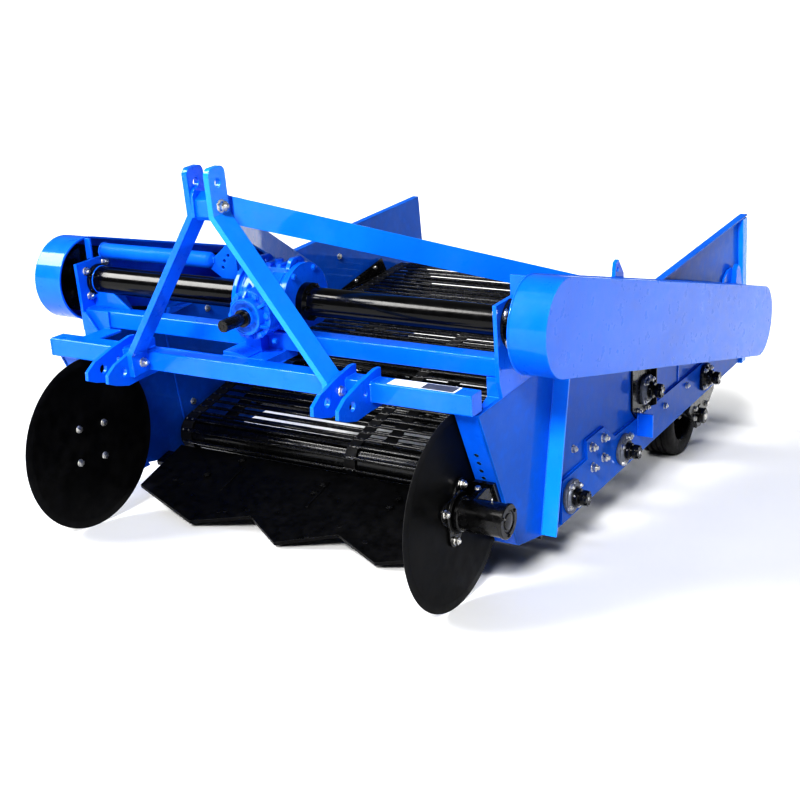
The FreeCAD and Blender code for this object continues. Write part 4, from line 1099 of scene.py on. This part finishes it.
# inner gussets between the bearing plates, beam and toolbar
gus = Piece("beam_gussets")
for nm, sd in SIDES:
    if sd < 0:
        # standing gusset on the beam, cheek plate on its end and the tie plate below
        gus.add(prism([(-759.5, 124), (-607, 124), (-662, 166), (-759.5, 240)], (0, 246, 0), X, Z, -Y, 7, .8))
        gus.add(prism([(-759.5, 12), (-700, 12), (-692, 58), (-662, 68), (-662, 124), (-759.5, 124)], (0, 199.5, 0), X, Z, -Y, 7, .8))
        gus.add(slab((-686, -618), (88.5, 199), (58, 67), 1.2))
        # front gusset on the plate's edge
        gus.add(prism([(-759.5, 12), (-688, 12), (-688, 46), (-746, 120), (-759.5, 122)], (0, 182, 0), X, Z, -Y, 8, .8))
    else:
        # foot plate under the beam's end and the flange it stands on
        gus.add(prism([(723, 10), (759.5, 10), (759.5, 67.6), (723, 67.6)], (0, 207, 0), X, Z, -Y, 7, .8))
        gus.add(prism([(761.5, 89), (752, 89), (724, 196), (722, 226), (761.5, 226)], (0, 0, 4), X, Y, Z, 7, .8))
gus.make("frame", "blue_paint", [BLUE])

# adjusting holes of the disc carriers, on the front faces of the front members: a raised rim round a flat black disc,
# the black being painted shade inside each hole
hol = Piece("adjusting_holes")
nrm = Vector((0, -482, -220)).normalized()
for nm, sd in SIDES:
    for zc in (-140, -168, -196, -222):
        yc = 60 - (zc - 11) / 482 * 220
        p = Vector((sd * 722, yc, zc))
        hol.add(ring([(0.2, 6.0), (0.9, 7.2), (0.2, 8.4)], p, nrm, 20))
        hol.add(lathe([(0.1, 6.4), (0.35, 0.01)], p, nrm, 20), 1)
hol.make("frame", "blue_paint", [BLUE, BLACK])

# ------------------------------------------------------------ share bolts
slope = math.radians(13.5)
up = Vector((0, -math.sin(slope), math.cos(slope)))
al = Vector((0, math.cos(slope), math.sin(slope)))
so = Vector((0, 155, -577))
sh = Piece("share_bolts")
for x, q in ((-46, 318), (-51, 270), (-420, 366), (-495, 255), (250, 318), (245, 270), (545, 330)):
    sh.add(hexagon(so + X * x + al * q + up * 12, up, 24, 10, .3))
    sh.add(lathe([(9.6, 7.5), (13, 7.2), (14, 5.5)], so + X * x + al * q + up * 12, up, 12))
for x, q in ((-228, 130), (-301, 100), (-322, 92), (132, 140), (54, 62), (257, 92), (-600, 205), (560, 200), (-560, 190), (430, 110)):
    sh.add(lathe([(0, 9.5), (1.2, 9.0), (1.7, 6.0)], so + X * x + al * q + up * 12, up, 20))
# welded ribs behind each tip
for x in (-392, -36, 338):
    sh.add(prism([(0, 0), (150, 0), (140, 5), (10, 3)], so + X * (x - 4) + al * 195 + up * 11.8, al, up, X, 8, .6))
sh.make("frame", "black_paint", [SHAREM])

# ----------------------------------------------------- covers and labels
cov = Piece("cover_edge_beads")
CL = math.hypot(DY - CY, DZ - CZ)
CA = math.atan2(DZ - CZ, DY - CY)
ca, sa = math.cos(CA), math.sin(CA)
for nm, sd in SIDES:
    xo = sd * ((825 if sd > 0 else 795) + 114)
    xi = sd * (825 if sd > 0 else 795)
    for xc, rr, br in ((xo - sd * 2.6, 135.8, 2.4), (xi + sd * 2.2, 137.6, 2.6)):
        path = []
        for k in range(33):
            t = math.pi / 2 + math.pi * k / 32
            path.append((rr * math.cos(t), rr * math.sin(t)))
        n = 60
        path += [(CL * k / n, -rr) for k in range(1, n)]
        for k in range(33):
            t = -math.pi / 2 + math.pi * k / 32
            path.append((CL + rr * math.cos(t), rr * math.sin(t)))
        path += [(CL * (n - k) / n, rr) for k in range(1, n)]
        path.append(path[0])
        pts = [Vector((xc, CY + q[0] * ca - q[1] * sa, CZ + q[0] * sa + q[1] * ca)) for q in path]
        cov.add(tube(pts, br, 8, False))
cov.make("frame", "blue_paint", [BLUE])

lab = Piece("blank_labels")


def quad_plate(x0, x1, y0, y1, z, t=0.5):
    return slab((x0, x1), (y0, y1), (z, z + t), 0.1)


lab.add(quad_plate(501, 606, 35, 82, 71.0), 0)
lab.add(quad_plate(606, 706, 37, 80, 71.0), 1)
lab.add(quad_plate(706, 713, 35, 82, 71.0), 0)
lab.add(quad_plate(606, 706, 35, 37, 71.0), 0)
lab.add(quad_plate(606, 706, 80, 82, 71.0), 0)
lab.make("frame", "blue_paint", [LAB_W, LAB_G])

# black guide plate inside the left panel, and its mirror image
gp = Piece("crop_guide_plates")
for nm, sd in SIDES:
    gp.add(px([(1650, -176), (2020, -108), (2048, -158), (2050, -176)], *sorted((sd * 748, sd * 752)), .8))
    gp.add(px([(1650, -176), (2050, -176), (2050, -184), (1650, -184)], *sorted((sd * 742, sd * 761.8)), .8))
    for yy, zz in ((1800, -160), (1960, -138)):
        gp.add(bolt(Vector((sd * 748, yy, zz)), -X * sd, 9), 1)
gp.make("frame", "black_paint", [BLACK, ZINC])

# triangular web plate and bolts inside the panels
ip = Piece("inner_panel_plates")
for nm, sd in SIDES:
    ip.add(px([(576, 8), (590, 30), (720, 14), (612, 6)], *sorted((sd * 750, sd * 761.8)), .8))
    for yy, zz in ((806, -29), (671, -352), (1200, -20), (1700, -30)):
        zinc.add(bolt(Vector((sd * 762, yy, zz)), -X * sd, 12))
    # vertical folded seam near the front of the inner face
    ip.add(px([(560, -60), (568, -60), (626, -470), (618, -470)], *sorted((sd * 759.5, sd * 761.8)), .4))
ip.make("frame", "blue_paint", [BLUE])

# drive sprocket teeth
spk = Piece("web_sprocket_teeth")
for x in (-640, 0, 640):
    for k in range(10):
        t = 2 * math.pi * k / 10 + .2
        d = Y * math.cos(t) + Z * math.sin(t)
        s_ = Y * -math.sin(t) + Z * math.cos(t)
        c = Vector((x, DY, DZ)) + d * 92
        pts = [c - s_ * 12, c + s_ * 12, c + s_ * 5 + d * 10, c - s_ * 5 + d * 10]
        v = [tuple(p - X * 17) for p in pts] + [tuple(p + X * 17) for p in pts]
        spk.add((v, [(3, 2, 1, 0), (4, 5, 6, 7), (0, 1, 5, 4), (1, 2, 6, 5), (2, 3, 7, 6), (3, 0, 4, 7)]))
    spk.add(ring([(-36, 23), (-36, 40), (-20, 44), (20, 44), (36, 40), (36, 23)], (x, DY, DZ), X, 32))
spk.make("frame", "black_paint", [BLACK])

# pulley hubs, webs and key caps, seen from inside the covers
pul = Piece("pulley_hubs")
for nm, sd in SIDES:
    p0 = 840 if sd > 0 else 810
    for yy, zz in ((CY, CZ), (DY, DZ)):
        o = Vector((sd * p0, yy, zz))
        ax = X * sd
        pul.add(ring([(-6, 22.5), (-6, 34), (0.4, 38), (0.4, 22.5)], o, ax, 36))
        pul.add(ring([(39.6, 22.5), (39.6, 38), (44, 35), (44, 22.5)], o, ax, 36))
        for k in range(5):
            t = 2 * math.pi * k / 5
            d = Y * math.cos(t) + Z * math.sin(t)
            pul.add(lathe([(-0.8, 17), (0.3, 18.5)], o + d * 68, ax, 20))
            pul.add(lathe([(39.7, 18.5), (40.8, 17)], o + d * 68, ax, 20))
        pul.add(bolt(o - ax * 6 + Y * 28, -ax, 6, washer=False), 1)
pul.make("frame", "black_paint", [BLACK, ZINC])

zinc.make("frame", "bright_steel", [ZINC])

# --------------------------------------------------- floor, light, camera
me = bpy.data.meshes.new("floor")
S_ = 60.0
me.from_pydata([(-S_, -S_, 0), (S_, -S_, 0), (S_, S_, 0), (-S_, S_, 0)], [], [(0, 1, 2, 3)])
floor = bpy.data.objects.new("floor", me)
me.materials.append(FLOOR)
scene.collection.objects.link(floor)

world = bpy.data.worlds.new("studio")
scene.world = world
world.use_nodes = True
wt = world.node_tree
bg = wt.nodes["Background"]
bg.inputs[0].default_value = (0.93, 0.965, 1.0, 1)
lp = wt.nodes.new("ShaderNodeLightPath")
mr = wt.nodes.new("ShaderNodeMapRange")
for i_, v_ in ((1, 0.0), (2, 1.0), (3, 0.14), (4, 1.25)):
    mr.inputs[i_].default_value = v_
wt.links.new(lp.outputs["Is Camera Ray"], mr.inputs[0])
wt.links.new(mr.outputs[0], bg.inputs[1])


def lamp(name, kind, at, to, power, color=(1, 1, 1), **kw):
    d = bpy.data.lights.new(name, kind)
    d.energy, d.color = power, color
    for k, val in kw.items():
        setattr(d, k, val)
    o = bpy.data.objects.new(name, d)
    scene.collection.objects.link(o)
    o.location = at
    o.rotation_mode = "QUATERNION"
    o.rotation_quaternion = (Vector(to) - Vector(at)).to_track_quat("-Z", "Y")
    return o


lamp("key", "SUN", (1.75, -6.0, 4.2), (0, 0, 0), 3.5, (1.0, 0.99, 0.97), angle=math.radians(14))
lamp("left_key", "SUN", (-5.3, -3.6, 5.0), (0, 0, 0), 2.9, (1.0, 0.985, 0.96), angle=math.radians(30))
lamp("top_softbox", "AREA", (0.5, -1.5, 4.5), (0, 0, 0.4), 14, (0.97, 0.985, 1.0), shape="RECTANGLE", size=3.5, size_y=2.0)

F, AZ, EL, RO = 1300.0, math.radians(31.9), math.radians(19.0), math.radians(-3.2)
right = Vector((math.cos(AZ), math.sin(AZ), 0))
back = Vector((math.sin(AZ) * math.cos(EL), -math.cos(AZ) * math.cos(EL), math.sin(EL)))
upv = back.cross(right)
r2 = right * math.cos(RO) + upv * math.sin(RO)
u2 = upv * math.cos(RO) - right * math.sin(RO)
cam = bpy.data.cameras.new("photo_camera")
cam.sensor_fit, cam.sensor_width, cam.lens = "HORIZONTAL", 36.0, F / 800 * 36
cam.clip_start, cam.clip_end = 0.05, 200
co = bpy.data.objects.new("photo_camera", cam)
scene.collection.objects.link(co)
R3x3 = ROT.to_3x3()
basis = Matrix((R3x3 @ r2, R3x3 @ u2, R3x3 @ back)).transposed().to_4x4()
basis.translation = MW @ Vector((2318.6, -2820.3, 1187.2))
co.matrix_world = basis
scene.camera = co
scene.view_settings.view_transform = "Standard"
scene.view_settings.look = "High Contrast"
